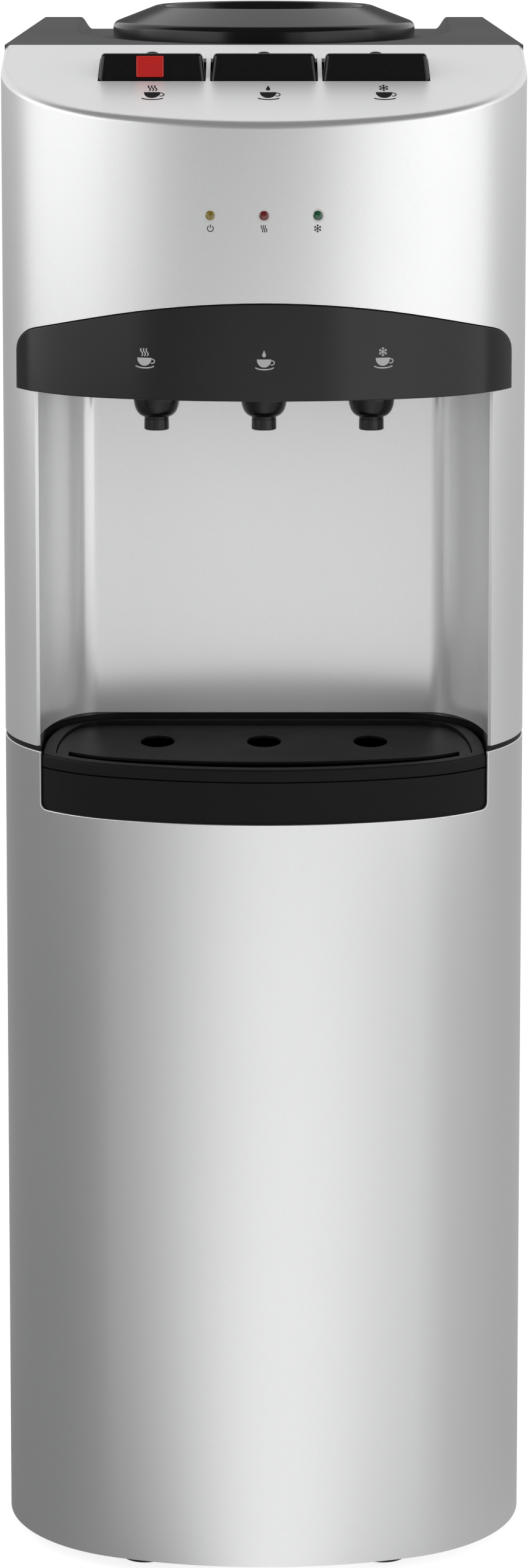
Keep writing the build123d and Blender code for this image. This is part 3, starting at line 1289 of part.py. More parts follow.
def make_switch_frames():
    frames = []
    out = Y_WEB + SHEET
    for x in SWITCH_CENTRE.values():
        frame = block(
            x - SWITCH_BEZEL_HALF_X, x + SWITCH_BEZEL_HALF_X,
            out, out + SWITCH_BEZEL,
            SWITCH_Z - SWITCH_BEZEL_HALF_Z, SWITCH_Z + SWITCH_BEZEL_HALF_Z,
        )
        frame += block(
            x - SWITCH_BODY_HALF_X, x + SWITCH_BODY_HALF_X,
            out - SWITCH_DEPTH, out,
            SWITCH_Z - SWITCH_BODY_HALF_Z, SWITCH_Z + SWITCH_BODY_HALF_Z,
        )
        frame -= block(
            x - ROCKER_WELL_HALF_X, x + ROCKER_WELL_HALF_X,
            out - SWITCH_WELL_DEPTH, out + REACH,
            SWITCH_Z - ROCKER_WELL_HALF_Z, SWITCH_Z + ROCKER_WELL_HALF_Z,
        )
        half = ROCKER_HALF_X + PIVOT_REACH + SEAT_FIT
        frame -= crosswise(PIVOT_RADIUS + SEAT_FIT, out, SWITCH_Z, x - half, x + half)
        frames.append(frame)
    return group(frames)


def make_rocker(name):
    profile = [
        (-ROCKER_ROOT, -ROCKER_ROOT_HALF),
        (-ROCKER_HEEL, -ROCKER_HALF_Z),
        (ROCKER_TIP, -ROCKER_HALF_Z),
        (ROCKER_DIP, 0),
        (ROCKER_TIP, ROCKER_HALF_Z),
        (-ROCKER_HEEL, ROCKER_HALF_Z),
        (-ROCKER_ROOT, ROCKER_ROOT_HALF),
    ]
    rocker = side_prism(profile, -ROCKER_HALF_X, ROCKER_HALF_X)
    half = ROCKER_HALF_X + PIVOT_REACH
    rocker += crosswise(PIVOT_RADIUS, 0, 0, -half, half)
    return Pos(SWITCH_CENTRE[name], Y_WEB + SHEET, SWITCH_Z) * Rot(-ROCKER_TILT, 0, 0) * rocker


def make_cord_gland():
    out = Y_WEB + SHEET
    profile = [
        (GLAND_BORE, -GLAND_LENGTH / 2),
        (GLAND_RADIUS, -GLAND_LENGTH / 2),
        (GLAND_RADIUS, 0),
        (GLAND_FLANGE, 0),
        (GLAND_FLANGE, GLAND_LIP),
        (GLAND_RADIUS, GLAND_LENGTH / 2),
        (GLAND_BORE, GLAND_LENGTH / 2),
    ]
    return Pos(X_GLAND, out, GLAND_Z) * Rot(-90, 0, 0) * turned(profile, 0, 0)


PIECES = {
    "base_plate": make_base_plate(),
    "feet": make_feet(),
    "lower_front_panel": make_lower_front_panel(),
    "left_side_panel": make_side_panel(-1),
    "right_side_panel": make_side_panel(1),
    "back_panel": make_back_panel(),
    "panel_screws": make_panel_screws(),
    "upper_front_casing": make_upper_casing(),
    "niche_liner": make_niche_liner(),
    "tap_band": make_tap_band(),
    "tray_housing": make_tray_housing(),
    "drip_tray": make_drip_tray(),
    "drip_grid": make_drip_grid(),
    "top_deck": make_top_deck(),
    "bottle_collar": make_bottle_collar(),
    "collar_funnel": make_collar_funnel(),
    "collar_throat": make_collar_throat(),
    "nozzle_bells": make_nozzle_bells(),
    "child_lock": make_child_lock(),
    "key_frame": make_key_frame(),
    "key_hinge_rod": make_hinge_rod(),
    "led_board": make_led_board(),
    "lamp_bezels": make_lamp_bezels(),
    "cold_tank": make_cold_tank(),
    "cold_tank_foam": make_tank_foam(),
    "evaporator_coil": make_evaporator(),
    "tank_baffle": make_baffle(),
    "tank_shelves": make_tank_shelves(),
    "hot_tank": make_hot_tank(),
    "hot_tank_foam": make_hot_foam(),
    "band_heater": make_band_heater(),
    "thermostats": make_thermostats(),
    "room_hose": make_room_hose(),
    "cold_hose": make_cold_hose(),
    "hot_tank_hoses": make_hot_tank_hoses(),
    "drain_cap": make_drain_cap(),
    "compressor": make_compressor(),
    "compressor_grommets": make_grommets(),
    "condenser": make_condenser(),
    "condenser_clips": make_condenser_clips(),
    "refrigerant_lines": make_refrigerant_lines(),
    "switch_frames": make_switch_frames(),
    "cord_gland": make_cord_gland(),
}
for water, centre in TAP_X.items():
    PIECES[f"{water}_tap"] = make_tap(centre)
    PIECES[f"{water}_push_rod"] = make_push_rod(centre)
    PIECES[f"{water}_bellows"] = make_bellows(centre)
    PIECES[f"{water}_key"] = make_key(water)
for lamp in LAMP_X:
    PIECES[f"{lamp}_lamp"] = make_lamp(lamp)
for switch in SWITCH_CENTRE:
    PIECES[f"{switch}_rocker"] = make_rocker(switch)

os.makedirs("parts", exist_ok=True)
for name, piece in PIECES.items():
    export_step(piece, f"parts/{name}.step")
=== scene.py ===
# %% [markdown]
# # A bottle-top water dispenser
# The CAD model is loaded first and stays fixed. It says where every part is and how it moves.
# This lesson builds the outer skins again as fine meshes, because a satin silver surface shows every facet,
# and gives each part a finish made of nodes. Lengths are metres, so sizes in millimetres are times MM.

# %% Load the frame
import json
import math

import bmesh
import bpy
from mathutils import Matrix, Vector


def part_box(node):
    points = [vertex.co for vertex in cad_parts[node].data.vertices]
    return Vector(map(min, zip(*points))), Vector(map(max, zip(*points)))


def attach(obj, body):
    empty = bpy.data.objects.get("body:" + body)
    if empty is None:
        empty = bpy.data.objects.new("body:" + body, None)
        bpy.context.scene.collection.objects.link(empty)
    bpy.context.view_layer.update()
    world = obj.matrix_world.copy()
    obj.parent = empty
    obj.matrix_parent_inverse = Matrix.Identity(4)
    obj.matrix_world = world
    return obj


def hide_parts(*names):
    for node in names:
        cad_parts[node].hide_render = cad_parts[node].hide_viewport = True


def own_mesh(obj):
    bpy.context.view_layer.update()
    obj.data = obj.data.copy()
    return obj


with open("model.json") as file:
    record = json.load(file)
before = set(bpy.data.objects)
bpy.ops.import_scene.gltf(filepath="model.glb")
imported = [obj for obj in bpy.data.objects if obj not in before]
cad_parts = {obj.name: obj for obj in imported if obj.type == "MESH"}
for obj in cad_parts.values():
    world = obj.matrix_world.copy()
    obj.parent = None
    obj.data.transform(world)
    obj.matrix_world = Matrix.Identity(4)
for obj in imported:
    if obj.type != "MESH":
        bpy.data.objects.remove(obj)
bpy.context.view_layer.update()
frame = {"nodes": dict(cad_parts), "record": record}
MM = 0.001

# %% [markdown]
# ## The bowed front
# Seen from above, the whole front is one gentle arc with a tighter arc at each corner and a short straight side.
# Every skin on the front follows this line, so it is written once: how far along the line, and how deep inside it.

# %% The bow as a line
casing_low, casing_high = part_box("upper_front_casing")
HALF_WIDTH = casing_high.x
FRONT = casing_low.y
SPLIT = casing_high.y
CASING_FOOT = casing_low.z
DECK_LINE = casing_high.z
BOW_RADIUS = 260 * MM
CORNER_RADIUS = 100 * MM
CORNER_X = HALF_WIDTH - CORNER_RADIUS
BOW_Y = FRONT + BOW_RADIUS
BOW_TURN = math.asin(CORNER_X / (BOW_RADIUS - CORNER_RADIUS))
CORNER_Y = BOW_Y - (BOW_RADIUS - CORNER_RADIUS) * math.cos(BOW_TURN)
BOW_RUN = BOW_RADIUS * BOW_TURN
CORNER_RUN = CORNER_RADIUS * (math.pi / 2 - BOW_TURN)
FULL_RUN = BOW_RUN + CORNER_RUN + SPLIT - CORNER_Y


def bow_point(run):
    """Where a step along the front line lands."""
    side = math.copysign(1.0, run)
    run = abs(run)
    if run > BOW_RUN + CORNER_RUN:
        return side * HALF_WIDTH, CORNER_Y + run - BOW_RUN - CORNER_RUN
    if run > BOW_RUN:
        turn = BOW_TURN + (run - BOW_RUN) / CORNER_RADIUS
        return side * (CORNER_X + CORNER_RADIUS * math.sin(turn)), CORNER_Y - CORNER_RADIUS * math.cos(turn)
    turn = run / BOW_RADIUS
    return side * BOW_RADIUS * math.sin(turn), BOW_Y - BOW_RADIUS * math.cos(turn)


def run_at(x):
    """How far along the front line a distance from the middle is."""
    side = math.copysign(1.0, x)
    x = abs(x)
    if x <= BOW_RADIUS * math.sin(BOW_TURN):
        return side * BOW_RADIUS * math.asin(x / BOW_RADIUS)
    turn = math.asin(min(1.0, (x - CORNER_X) / CORNER_RADIUS))
    return side * (BOW_RUN + CORNER_RADIUS * (turn - BOW_TURN))


def bow_y(x, inset=0.0):
    """Depth of the front, set back by inset, at a distance from the middle."""
    x = abs(x)
    if x <= (BOW_RADIUS - inset) * math.sin(BOW_TURN):
        return BOW_Y - math.sqrt((BOW_RADIUS - inset) ** 2 - x * x)
    return CORNER_Y - math.sqrt(max(0.0, (CORNER_RADIUS - inset) ** 2 - (x - CORNER_X) ** 2))


print("front line, mm:", round(2 * FULL_RUN / MM, 1))

# %% [markdown]
# ## A small tool kit
# A sheet is cut flat, as the real steel is, then sliced into narrow upright strips and bent round the bow.
# A tray is lofted: one ring of edges is extruded again and again, and each new ring is put where it belongs.
# A round part is a profile that is spun. `finish_piece` turns a bmesh into an object on its body.

# %% Tools for lines
HAIR = 0.001 * MM
TOUCH = 0.01 * MM
STRIP = 3 * MM
ACROSS, BACK, UP = Vector((1, 0, 0)), Vector((0, 1, 0)), Vector((0, 0, 1))


def even(low, high, pitch):
    """Evenly spaced places strictly between two ends."""
    count = math.ceil((high - low) / pitch)
    return [low + (high - low) * i / count for i in range(1, count)]


def quarter_turn(steps):
    """Angles of a quarter turn in even steps."""
    return [math.pi / 2 * step / steps for step in range(steps + 1)]


def ease(share):
    """A share held between nought and one, and made smooth at both ends."""
    share = max(0.0, min(1.0, share))
    return share * share * (3 - 2 * share)


def turned(base, *points):
    """Part of a turned profile: radii, and heights above a base, in millimetres."""
    return [(radius * MM, base + height * MM) for radius, height in points]


def closed_line(bm, corners):
    """Joins vertices to a closed line of edges."""
    return [bm.edges.new((corners[i - 1], corners[i])) for i in range(len(corners))]


def open_line(bm, corners):
    """Joins vertices to an open line of edges."""
    return [bm.edges.new(pair) for pair in zip(corners, corners[1:])]


def extrude_line(bm, edges):
    """Extrudes a line of edges and returns the new vertices and the new edges."""
    made = bmesh.ops.extrude_edge_only(bm, edges=edges)["geom"]
    corners = [g for g in made if isinstance(g, bmesh.types.BMVert)]
    return corners, [g for g in made if isinstance(g, bmesh.types.BMEdge)]


print("strips along the front:", math.ceil(2 * FULL_RUN / STRIP))


# %% Tools for shaping
def polygon(points):
    """A bmesh with one flat upright face; points are (x, z)."""
    bm = bmesh.new()
    bm.faces.new([bm.verts.new((x, 0.0, z)) for x, z in points])
    return bm


def round_corners(bm, corners, radius, segments=6):
    """Rounds some corners of a flat face."""
    bmesh.ops.bevel(
        bm, geom=corners, offset=radius, offset_type="OFFSET", segments=segments, profile=0.5,
        affect="VERTICES", material=-1, clamp_overlap=False,
    )


def outline(bm):
    """Corner points of the first face, in order."""
    bm.faces.ensure_lookup_table()
    return [loop.vert.co.copy() for loop in bm.faces[0].loops]


def slice_mesh(bm, places, direction):
    """Cuts the whole mesh at a row of parallel planes."""
    for place in places:
        everything = bm.verts[:] + bm.edges[:] + bm.faces[:]
        bmesh.ops.bisect_plane(bm, geom=everything, plane_co=direction * place, plane_no=direction, dist=HAIR)


def bend_sheet(bm):
    """Slices a flat sheet into strips and wraps it on the bow; x runs along the front line."""
    edge = max(v.co.x for v in bm.verts)
    slice_mesh(bm, even(-edge, edge, STRIP), ACROSS)
    for v in bm.verts:
        v.co.x, v.co.y = bow_point(v.co.x)


def face_towards(bm, direction):
    """Makes the faces agree, and turns them over if most of them look away from a direction."""
    bmesh.ops.recalc_face_normals(bm, faces=bm.faces)
    if sum(f.normal.dot(direction) * f.calc_area() for f in bm.faces) < 0:
        bmesh.ops.reverse_faces(bm, faces=bm.faces)


def loft(rings):
    """Extrudes a closed ring of edges through a list of rings with the same number of points."""
    bm = bmesh.new()
    order = bm.verts.layers.int.new("order")
    first = [bm.verts.new(p) for p in rings[0]]
    for i, v in enumerate(first):
        v[order] = i
    edges = closed_line(bm, first)
    bmesh.ops.edgenet_fill(bm, edges=edges)
    for ring in rings[1:]:
        corners, edges = extrude_line(bm, edges)
        for v in corners:
            v.co = ring[v[order]]
    bmesh.ops.edgenet_fill(bm, edges=edges)
    bmesh.ops.recalc_face_normals(bm, faces=bm.faces)
    return bm


def spun(profile, centre, steps, rounds=None):
    """Spins an (r, z) outline about an upright axis; rounds maps a corner's number to a radius."""
    flat = polygon(profile)
    flat.verts.ensure_lookup_table()
    corners = list(flat.verts)
    for number, radius in (rounds or {}).items():
        round_corners(flat, [corners[number]], radius, 4)
    bmesh.ops.delete(flat, geom=flat.faces[:], context="FACES_ONLY")
    bmesh.ops.spin(
        flat, geom=flat.verts[:] + flat.edges[:], cent=(0, 0, 0), axis=(0, 0, 1),
        angle=2 * math.pi, steps=steps, use_merge=True, use_duplicate=False,
    )
    bmesh.ops.remove_doubles(flat, verts=flat.verts, dist=HAIR)
    bmesh.ops.recalc_face_normals(flat, faces=flat.faces)
    bmesh.ops.translate(flat, verts=flat.verts, vec=centre)
    return flat


def box_mesh(bm, low, high):
    """Adds a box between two corners and returns its vertices."""
    low, high = Vector(low), Vector(high)
    place = Matrix.Translation((low + high) / 2) @ Matrix.Diagonal((*(high - low), 1.0))
    return bmesh.ops.create_cube(bm, size=1.0, matrix=place)["verts"]


def join_meshes(target, *others):
    """Moves the meshes of other bmeshes into the target."""
    for other in others:
        carrier = bpy.data.meshes.new("carrier")
        other.to_mesh(carrier)
        other.free()
        target.from_mesh(carrier)
        bpy.data.meshes.remove(carrier)
    return target


def bevel_edges(bm, edges, radius, segments):
    """Rounds edges of a solid."""
    bmesh.ops.bevel(
        bm, geom=edges, offset=radius, offset_type="OFFSET", segments=segments, profile=0.5,
        affect="EDGES", material=-1, clamp_overlap=True,
    )


# %% From a bmesh to a finished piece
FINISHES = {}
SHARP_FROM = math.radians(38)
ROLLED_FROM = math.radians(40)
ROLLED_STEPS = 3


def finish_piece(bm, name, body, slot, replaced=(), wall=None, edge=None, look=None):
    """Makes an object of a bmesh, with a wall and rounded edges if asked, on its body and with its finish."""
    mesh = bpy.data.meshes.new(name)
    bm.to_mesh(mesh)
    bm.free()
    piece = bpy.data.objects.new(name, mesh)
    bpy.context.scene.collection.objects.link(piece)
    mesh.shade_smooth()
    if not edge:
        mesh.set_sharp_from_angle(angle=SHARP_FROM)
    if wall:
        shell = piece.modifiers.new("wall", "SOLIDIFY")
        shell.thickness = wall
        shell.offset = -1.0
        shell.use_even_offset = True
    if edge:
        rolled = piece.modifiers.new("edges", "BEVEL")
        rolled.width = edge
        rolled.segments = ROLLED_STEPS
        rolled.limit_method = "ANGLE"
        rolled.angle_limit = ROLLED_FROM
        rolled.use_clamp_overlap = True
    smooth = piece.modifiers.new("normals", "WEIGHTED_NORMAL")
    smooth.keep_sharp = True
    mesh.materials.append(FINISHES[look or slot])
    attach(piece, body)
    if replaced:
        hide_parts(*replaced)
    print(f"{name}: {len(mesh.polygons)} faces")
    return piece


# %% [markdown]
# ## Finishes
# Real surfaces are never one flat colour. Silver paint holds tiny flakes, moulded plastic has a fine grain,
# galvanised steel shows crystals, foam shows beads. Each finish below mixes one or two noises into the colour,
# the roughness and the bump. Values that do not change over the surface go straight on the shader's sockets.

# %% One builder for all finishes
COAT_ROUGH = 0.12
LEAST_ROUGH = 0.02
GRAIN_DETAIL = 3.0
BROAD_SCALE = 14.0
TONE_STOPS = (0.3, 0.7)
RELIEF = 0.02 * MM


def finish(
    slot, colour, rough, metallic=0.0, grain=900, mottle=0.06, sheen=0.08, bump=0.05, coat=0.0, shine=0.5,
    stretch=(1, 1, 1), crystal=False,
):
    """Principled material with a fine grain in its colour, roughness and bump."""
    material = bpy.data.materials.new(slot)
    material.use_nodes = True
    nodes, links = material.node_tree.nodes, material.node_tree.links
    shader = nodes["Principled BSDF"]
    shader.inputs["Metallic"].default_value = metallic
    shader.inputs["Coat Weight"].default_value = coat
    shader.inputs["Specular IOR Level"].default_value = shine
    shader.inputs["Coat Roughness"].default_value = COAT_ROUGH
    place = nodes.new("ShaderNodeTexCoord")
    turn = nodes.new("ShaderNodeMapping")
    turn.inputs["Scale"].default_value = stretch
    links.new(place.outputs["Object"], turn.inputs["Vector"])
    fine = nodes.new("ShaderNodeTexVoronoi" if crystal else "ShaderNodeTexNoise")
    fine.inputs["Scale"].default_value = grain
    fine.inputs["Detail"].default_value = 0.0 if crystal else GRAIN_DETAIL
    speck = fine.outputs["Color" if crystal else "Fac"]
    links.new(turn.outputs["Vector"], fine.inputs["Vector"])
    tone = nodes.new("ShaderNodeValToRGB")
    for stop, share, spot in zip(tone.color_ramp.elements, (1 - mottle, 1 + mottle), TONE_STOPS):
        stop.color = (*(min(1.0, c * share) for c in colour), 1.0)
        stop.position = spot
    links.new(speck, tone.inputs["Fac"])
    links.new(tone.outputs["Color"], shader.inputs["Base Color"])
    broad = nodes.new("ShaderNodeTexNoise")
    broad.inputs["Scale"].default_value = BROAD_SCALE
    links.new(place.outputs["Object"], broad.inputs["Vector"])
    gloss = nodes.new("ShaderNodeMapRange")
    gloss.inputs["To Min"].default_value = max(LEAST_ROUGH, rough - sheen)
    gloss.inputs["To Max"].default_value = rough + sheen
    links.new(broad.outputs["Fac"], gloss.inputs["Value"])
    links.new(gloss.outputs["Result"], shader.inputs["Roughness"])
    relief = nodes.new("ShaderNodeBump")
    relief.inputs["Strength"].default_value = bump
    relief.inputs["Distance"].default_value = RELIEF
    links.new(speck, relief.inputs["Height"])
    links.new(relief.outputs["Normal"], shader.inputs["Normal"])
    FINISHES[slot] = material


# %% All finishes
finish("silver_paint", (0.78, 0.782, 0.785), 0.36, metallic=0.7, grain=2600, mottle=0.05, sheen=0.02, bump=0.12)
finish("dark_print", (0.03, 0.03, 0.032), 0.8, grain=2000, mottle=0.1, shine=0.0)
# The next finish is a lighter, less metallic copy of the silver paint for the control panel's upward faces of the same
# moulding: painted light.
finish(
    "silver_paint_lit_panel", (0.95, 0.952, 0.955), 0.38, metallic=0.3, grain=2600, mottle=0.04, sheen=0.02, bump=0.12, shine=0.2,
)
finish("pale_print", (0.55, 0.55, 0.55), 0.5, grain=2000, mottle=0.05, shine=0.3)
# The next finish is the silver paint again for the niche. Its smoother gloss is its own; its lighter colour and lower
# metallic brighten the recess as painted light.
finish("silver_paint_lit_niche", (0.90, 0.902, 0.905), 0.21, metallic=0.42, grain=2600, mottle=0.04, sheen=0.02, bump=0.10)
finish("silver_steel", (0.74, 0.742, 0.745), 0.26, metallic=0.9, grain=2600, mottle=0.04, sheen=0.02, bump=0.10)
finish("graphite_steel", (0.17, 0.175, 0.18), 0.45, metallic=0.2, grain=1500, bump=0.25)
finish("graphite_plastic", (0.085, 0.087, 0.09), 0.6, grain=1300, mottle=0.16, bump=0.5, shine=0.3)
finish("black_gloss", (0.0075, 0.0075, 0.008), 0.2, grain=700, mottle=0.2, sheen=0.03, bump=0.06, shine=0.33)
finish("black_satin", (0.0085, 0.0085, 0.009), 0.34, grain=900, mottle=0.2, bump=0.2, shine=0.5)
finish("black_dull", (0.0075, 0.0075, 0.008), 0.5, grain=900, mottle=0.2, bump=0.2, shine=0.13)
finish("red_plastic", (0.62, 0.016, 0.013), 0.25, grain=700, mottle=0.05, sheen=0.04)
finish("green_plastic", (0.02, 0.22, 0.05), 0.28, grain=700)
finish("amber_lens", (0.27, 0.21, 0.03), 0.14, grain=700, mottle=0.45, coat=0.6)
finish("red_lens", (0.15, 0.008, 0.010), 0.14, grain=700, mottle=0.45, coat=0.6)
finish("green_lens", (0.006, 0.085, 0.035), 0.14, grain=700, mottle=0.45, coat=0.6)
finish("white_plastic", (0.74, 0.74, 0.72), 0.40, grain=800, mottle=0.03)
finish("board_green", (0.02, 0.14, 0.05), 0.35, grain=300, mottle=0.2)
finish("galvanised", (0.46, 0.47, 0.48), 0.42, metallic=0.85, grain=150, mottle=0.12, bump=0.05, crystal=True)
finish("bright_steel", (0.62, 0.62, 0.63), 0.22, metallic=1.0, grain=600)
finish("stainless", (0.58, 0.58, 0.57), 0.3, metallic=1.0, grain=300, stretch=(1, 1, 12))
finish("white_foam", (0.86, 0.86, 0.85), 0.9, grain=350, mottle=0.06, bump=0.8)
finish("copper", (0.55, 0.22, 0.11), 0.32, metallic=1.0, grain=90, mottle=0.2)
finish("heater_steel", (0.36, 0.36, 0.37), 0.35, metallic=1.0, grain=400)
finish("black_phenolic", (0.02, 0.016, 0.015), 0.5, grain=600)
finish("silicone", (0.72, 0.72, 0.67), 0.45, grain=400, mottle=0.03)
finish("black_steel", (0.012, 0.012, 0.013), 0.38, grain=1200, bump=0.3)
finish("black_rubber", (0.018, 0.018, 0.018), 0.7, grain=700, bump=0.5)
print("finishes:", len(FINISHES))

# %% [markdown]
# ## CAD parts that stay
# Sheet metal, hidden tanks and pipes already have the right shape. Their loose triangles are welded by a modifier,
# edges that turn sharply stay crisp, and each one takes the finish that the record names.

# %% Dress the CAD parts
CAD_WELD = 0.002 * MM
CAD_CREASE = math.radians(28)
SLOT_OF = {row["node"]: row["material_slot"] for row in frame["record"]["subparts"]}
LOOK_OF = {**SLOT_OF, "tray_housing": "black_dull"}
for node, part in frame["nodes"].items():
    part.data.materials.clear()
    part.data.materials.append(FINISHES[LOOK_OF[node]])
    part.data.shade_smooth()
    weld = part.modifiers.new("weld", "WELD")
    weld.merge_threshold = CAD_WELD
    crease = part.modifiers.new("crease", "EDGE_SPLIT")
    crease.split_angle = CAD_CREASE
print("CAD parts dressed:", len(frame["nodes"]))

# %% [markdown]
# ## The upper casing
# One moulding: a bowed wall, a sloping control panel on top, and a soft brow where they meet.
# The wall is cut flat with its opening for the tap band and the niche, then bent. The panel closes the top,
# the brow is a bevel, and the three key wells are cut last so that they do not disturb it.

# %% Outline of the band, used by the casing and by the band
NICHE_HALF = 131 * MM
OPENING_HALF = 133.3 * MM
BAND_HALF = 145 * MM
BAND_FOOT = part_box("tap_band")[0].z
BAND_CROWN = BAND_FOOT + 56.5 * MM
BAND_END = BAND_FOOT + 34 * MM
BAND_CORNER = 11.5 * MM
ARCH_STEPS = 24


def band_outline(grow):
    """Front view of the band from its lower left corner round the arch to its lower right corner."""
    half = BAND_HALF + grow
    rise = BAND_CROWN - BAND_END
    arch = (half * half + rise * rise) / (2 * rise)
    points = [(-half, BAND_FOOT)]
    for step in range(ARCH_STEPS + 1):
        x = half * (2 * step / ARCH_STEPS - 1)
        points.append((x, BAND_CROWN + grow - arch + math.sqrt(arch * arch - x * x)))
    points.append((half, BAND_FOOT))
    flat = polygon(points)
    flat.verts.ensure_lookup_table()
    round_corners(flat, [flat.verts[1], flat.verts[ARCH_STEPS + 1]], BAND_CORNER + grow)
    line = outline(flat)
    flat.free()
    start = min(range(len(line)), key=lambda i: line[i].x + line[i].z)
    line = line[start:] + line[:start]
    if line[1].z < BAND_FOOT + MM:
        line = [line[0]] + line[:0:-1]
    return [(p.x, p.z) for p in line]


print("arch of the band, mm:", round((BAND_CROWN - BAND_END) / MM, 1), "over", round(2 * BAND_HALF / MM, 1))

# %% Upper casing: bowed wall and brow
PANEL_FOOT = DECK_LINE - 36.5 * MM
PANEL_SLOPE = (DECK_LINE - PANEL_FOOT) / (SPLIT - FRONT)
BROW_RADIUS = 4 * MM
BROW_STEPS = 6
CASING_WALL = 2.5 * MM
CASING_EDGE = 1.0 * MM
KEY_X = {"hot": -65.5 * MM, "room": 0.0, "cold": 65.5 * MM}
KEY_WIDTH = 62.2 * MM
KEY_FRONT = -101.5 * MM
KEY_REAR = -60.5 * MM
WELL_GAP = 0.9 * MM
WELL_SIDE_GAP = 0.35 * MM
WELL_FRONT_GAP = 2.8 * MM
SIDE_EASE = 0.02 * MM
PANEL_UP = 0.96


def panel_z(y):
    """Height of the sloping panel's plane."""
    return PANEL_FOOT + PANEL_SLOPE * (y - FRONT)


strips = [-FULL_RUN] + even(-FULL_RUN, FULL_RUN, STRIP) + [FULL_RUN]
niche_run = run_at(OPENING_HALF)
opening = [(run_at(x), z) for x, z in band_outline(0.0)]
wall_line = [(FULL_RUN, CASING_FOOT)]
wall_line += [(run, panel_z(bow_point(run)[1])) for run in reversed(strips)]
wall_line += [(-FULL_RUN, CASING_FOOT), (-niche_run, CASING_FOOT), (-niche_run, BAND_FOOT)]
wall_line += opening
wall_line += [(niche_run, BAND_FOOT), (niche_run, CASING_FOOT)]
casing = polygon(wall_line)
bend_sheet(casing)
brow = [e for e in casing.edges if e.is_boundary and all(abs(v.co.z - panel_z(v.co.y)) < TOUCH for v in e.verts)]
rear = [v for v in casing.verts if abs(v.co.y - SPLIT) < TOUCH and abs(v.co.z - DECK_LINE) < TOUCH]
bmesh.ops.edgenet_fill(casing, edges=brow + [casing.edges.new(rear)])
face_towards(casing, UP)
bevel_edges(casing, brow, BROW_RADIUS, BROW_STEPS)
print("brow edges:", len(brow))

# %% Upper casing: key wells in the panel
panel = max(casing.faces, key=lambda f: f.calc_area() * f.normal.z)
rim = list(panel.edges)
slope = panel.normal.copy()
bmesh.ops.delete(casing, geom=[panel], context="FACES_ONLY")
half = KEY_WIDTH / 2 + WELL_SIDE_GAP
near, far = KEY_FRONT - WELL_FRONT_GAP, KEY_REAR + WELL_GAP
for x in KEY_X.values():
    plan = ((x - half, near), (x + half, near), (x + half, far), (x - half, far))
    rim += closed_line(casing, [casing.verts.new((u, y, panel_z(y))) for u, y in plan])
bmesh.ops.triangle_fill(casing, use_beauty=True, edges=rim, normal=slope)
face_towards(casing, UP)
for v in casing.verts:
    v.co.x *= 1 - SIDE_EASE / HALF_WIDTH
casing_skin = finish_piece(
    casing, "casing_skin", "cabinet", "silver_paint", ["upper_front_casing"], wall=CASING_WALL, edge=CASING_EDGE
)
# The upward faces of the control panel take the lighter copy of the silver paint: painted light on the top of one
# moulding.
casing_skin.data.materials.append(FINISHES["silver_paint_lit_panel"])
for face in casing_skin.data.polygons:
    face.material_index = int(face.normal.z > PANEL_UP)

# %% [markdown]
# ## The lower front panel
# Painted sheet steel in one piece, with a notch for the tray housing. It is cut flat and bent on the same bow.
# Its folded edge is a wall of 1.5 mm with a rolled rim.

# %% Lower front panel
panel_low, panel_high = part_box("lower_front_panel")
APRON_COVER = 4 * MM
apron_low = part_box("tray_housing")[0].z + APRON_COVER
NOTCH_HALF = NICHE_HALF + 0.5 * MM
NOTCH_RADIUS = 4 * MM
SHEET_WALL = 1.5 * MM
SHEET_EDGE = 0.45 * MM
sides = [(-NOTCH_HALF, panel_high.z), (-NOTCH_HALF, apron_low), (NOTCH_HALF, apron_low), (NOTCH_HALF, panel_high.z)]
notch = polygon(sides)
notch.verts.ensure_lookup_table()
round_corners(notch, [notch.verts[1], notch.verts[2]], NOTCH_RADIUS)
notch_line = outline(notch)
notch.free()
notch_line.sort(key=lambda p: (p.x, -p.z if p.x < 0 else p.z))
sheet_line = [(FULL_RUN, panel_high.z), (FULL_RUN, panel_low.z), (-FULL_RUN, panel_low.z), (-FULL_RUN, panel_high.z)]
sheet_line += [(run_at(p.x), p.z) for p in notch_line]
front_sheet = polygon(sheet_line)
bend_sheet(front_sheet)
face_towards(front_sheet, -BACK)
finish_piece(
    front_sheet, "front_sheet", "cabinet", "silver_steel", ["lower_front_panel"], wall=SHEET_WALL, edge=SHEET_EDGE
)

# %% [markdown]
# ## The tap band
# A glossy black strip with an arched top that sits flush in the casing, with a hair gap all round.

# %% Tap band
BAND_GAP = 0.4 * MM
BAND_WALL = 4.2 * MM
BAND_EDGE = 0.6 * MM
band = polygon([(run_at(x), z) for x, z in band_outline(-BAND_GAP)])
bend_sheet(band)
face_towards(band, -BACK)
finish_piece(band, "band_skin", "cabinet", "black_gloss", ["tap_band"], wall=BAND_WALL, edge=BAND_EDGE)

# %% [markdown]
# ## The niche
# A silver recess with a flat back and a flat ceiling. Its sides sweep round to the back in a quarter of an ellipse,
# longer from front to back. The plan is a line that is raised, and the ceiling closes it with a small round fillet.

# %% Niche liner
liner_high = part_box("niche_liner")[1]
NICHE_BACK = SPLIT
NICHE_FLAT = 100 * MM
NICHE_SWEEP = 88 * MM
NICHE_ARC = 30
NICHE_EDGE = 0.4 * MM
CEILING = liner_high.z - CASING_WALL
CEILING_FILLET = 3 * MM
CEILING_PITCH = 8 * MM
BEHIND_WALL = 2.6 * MM
BEHIND_BAND = 4.6 * MM


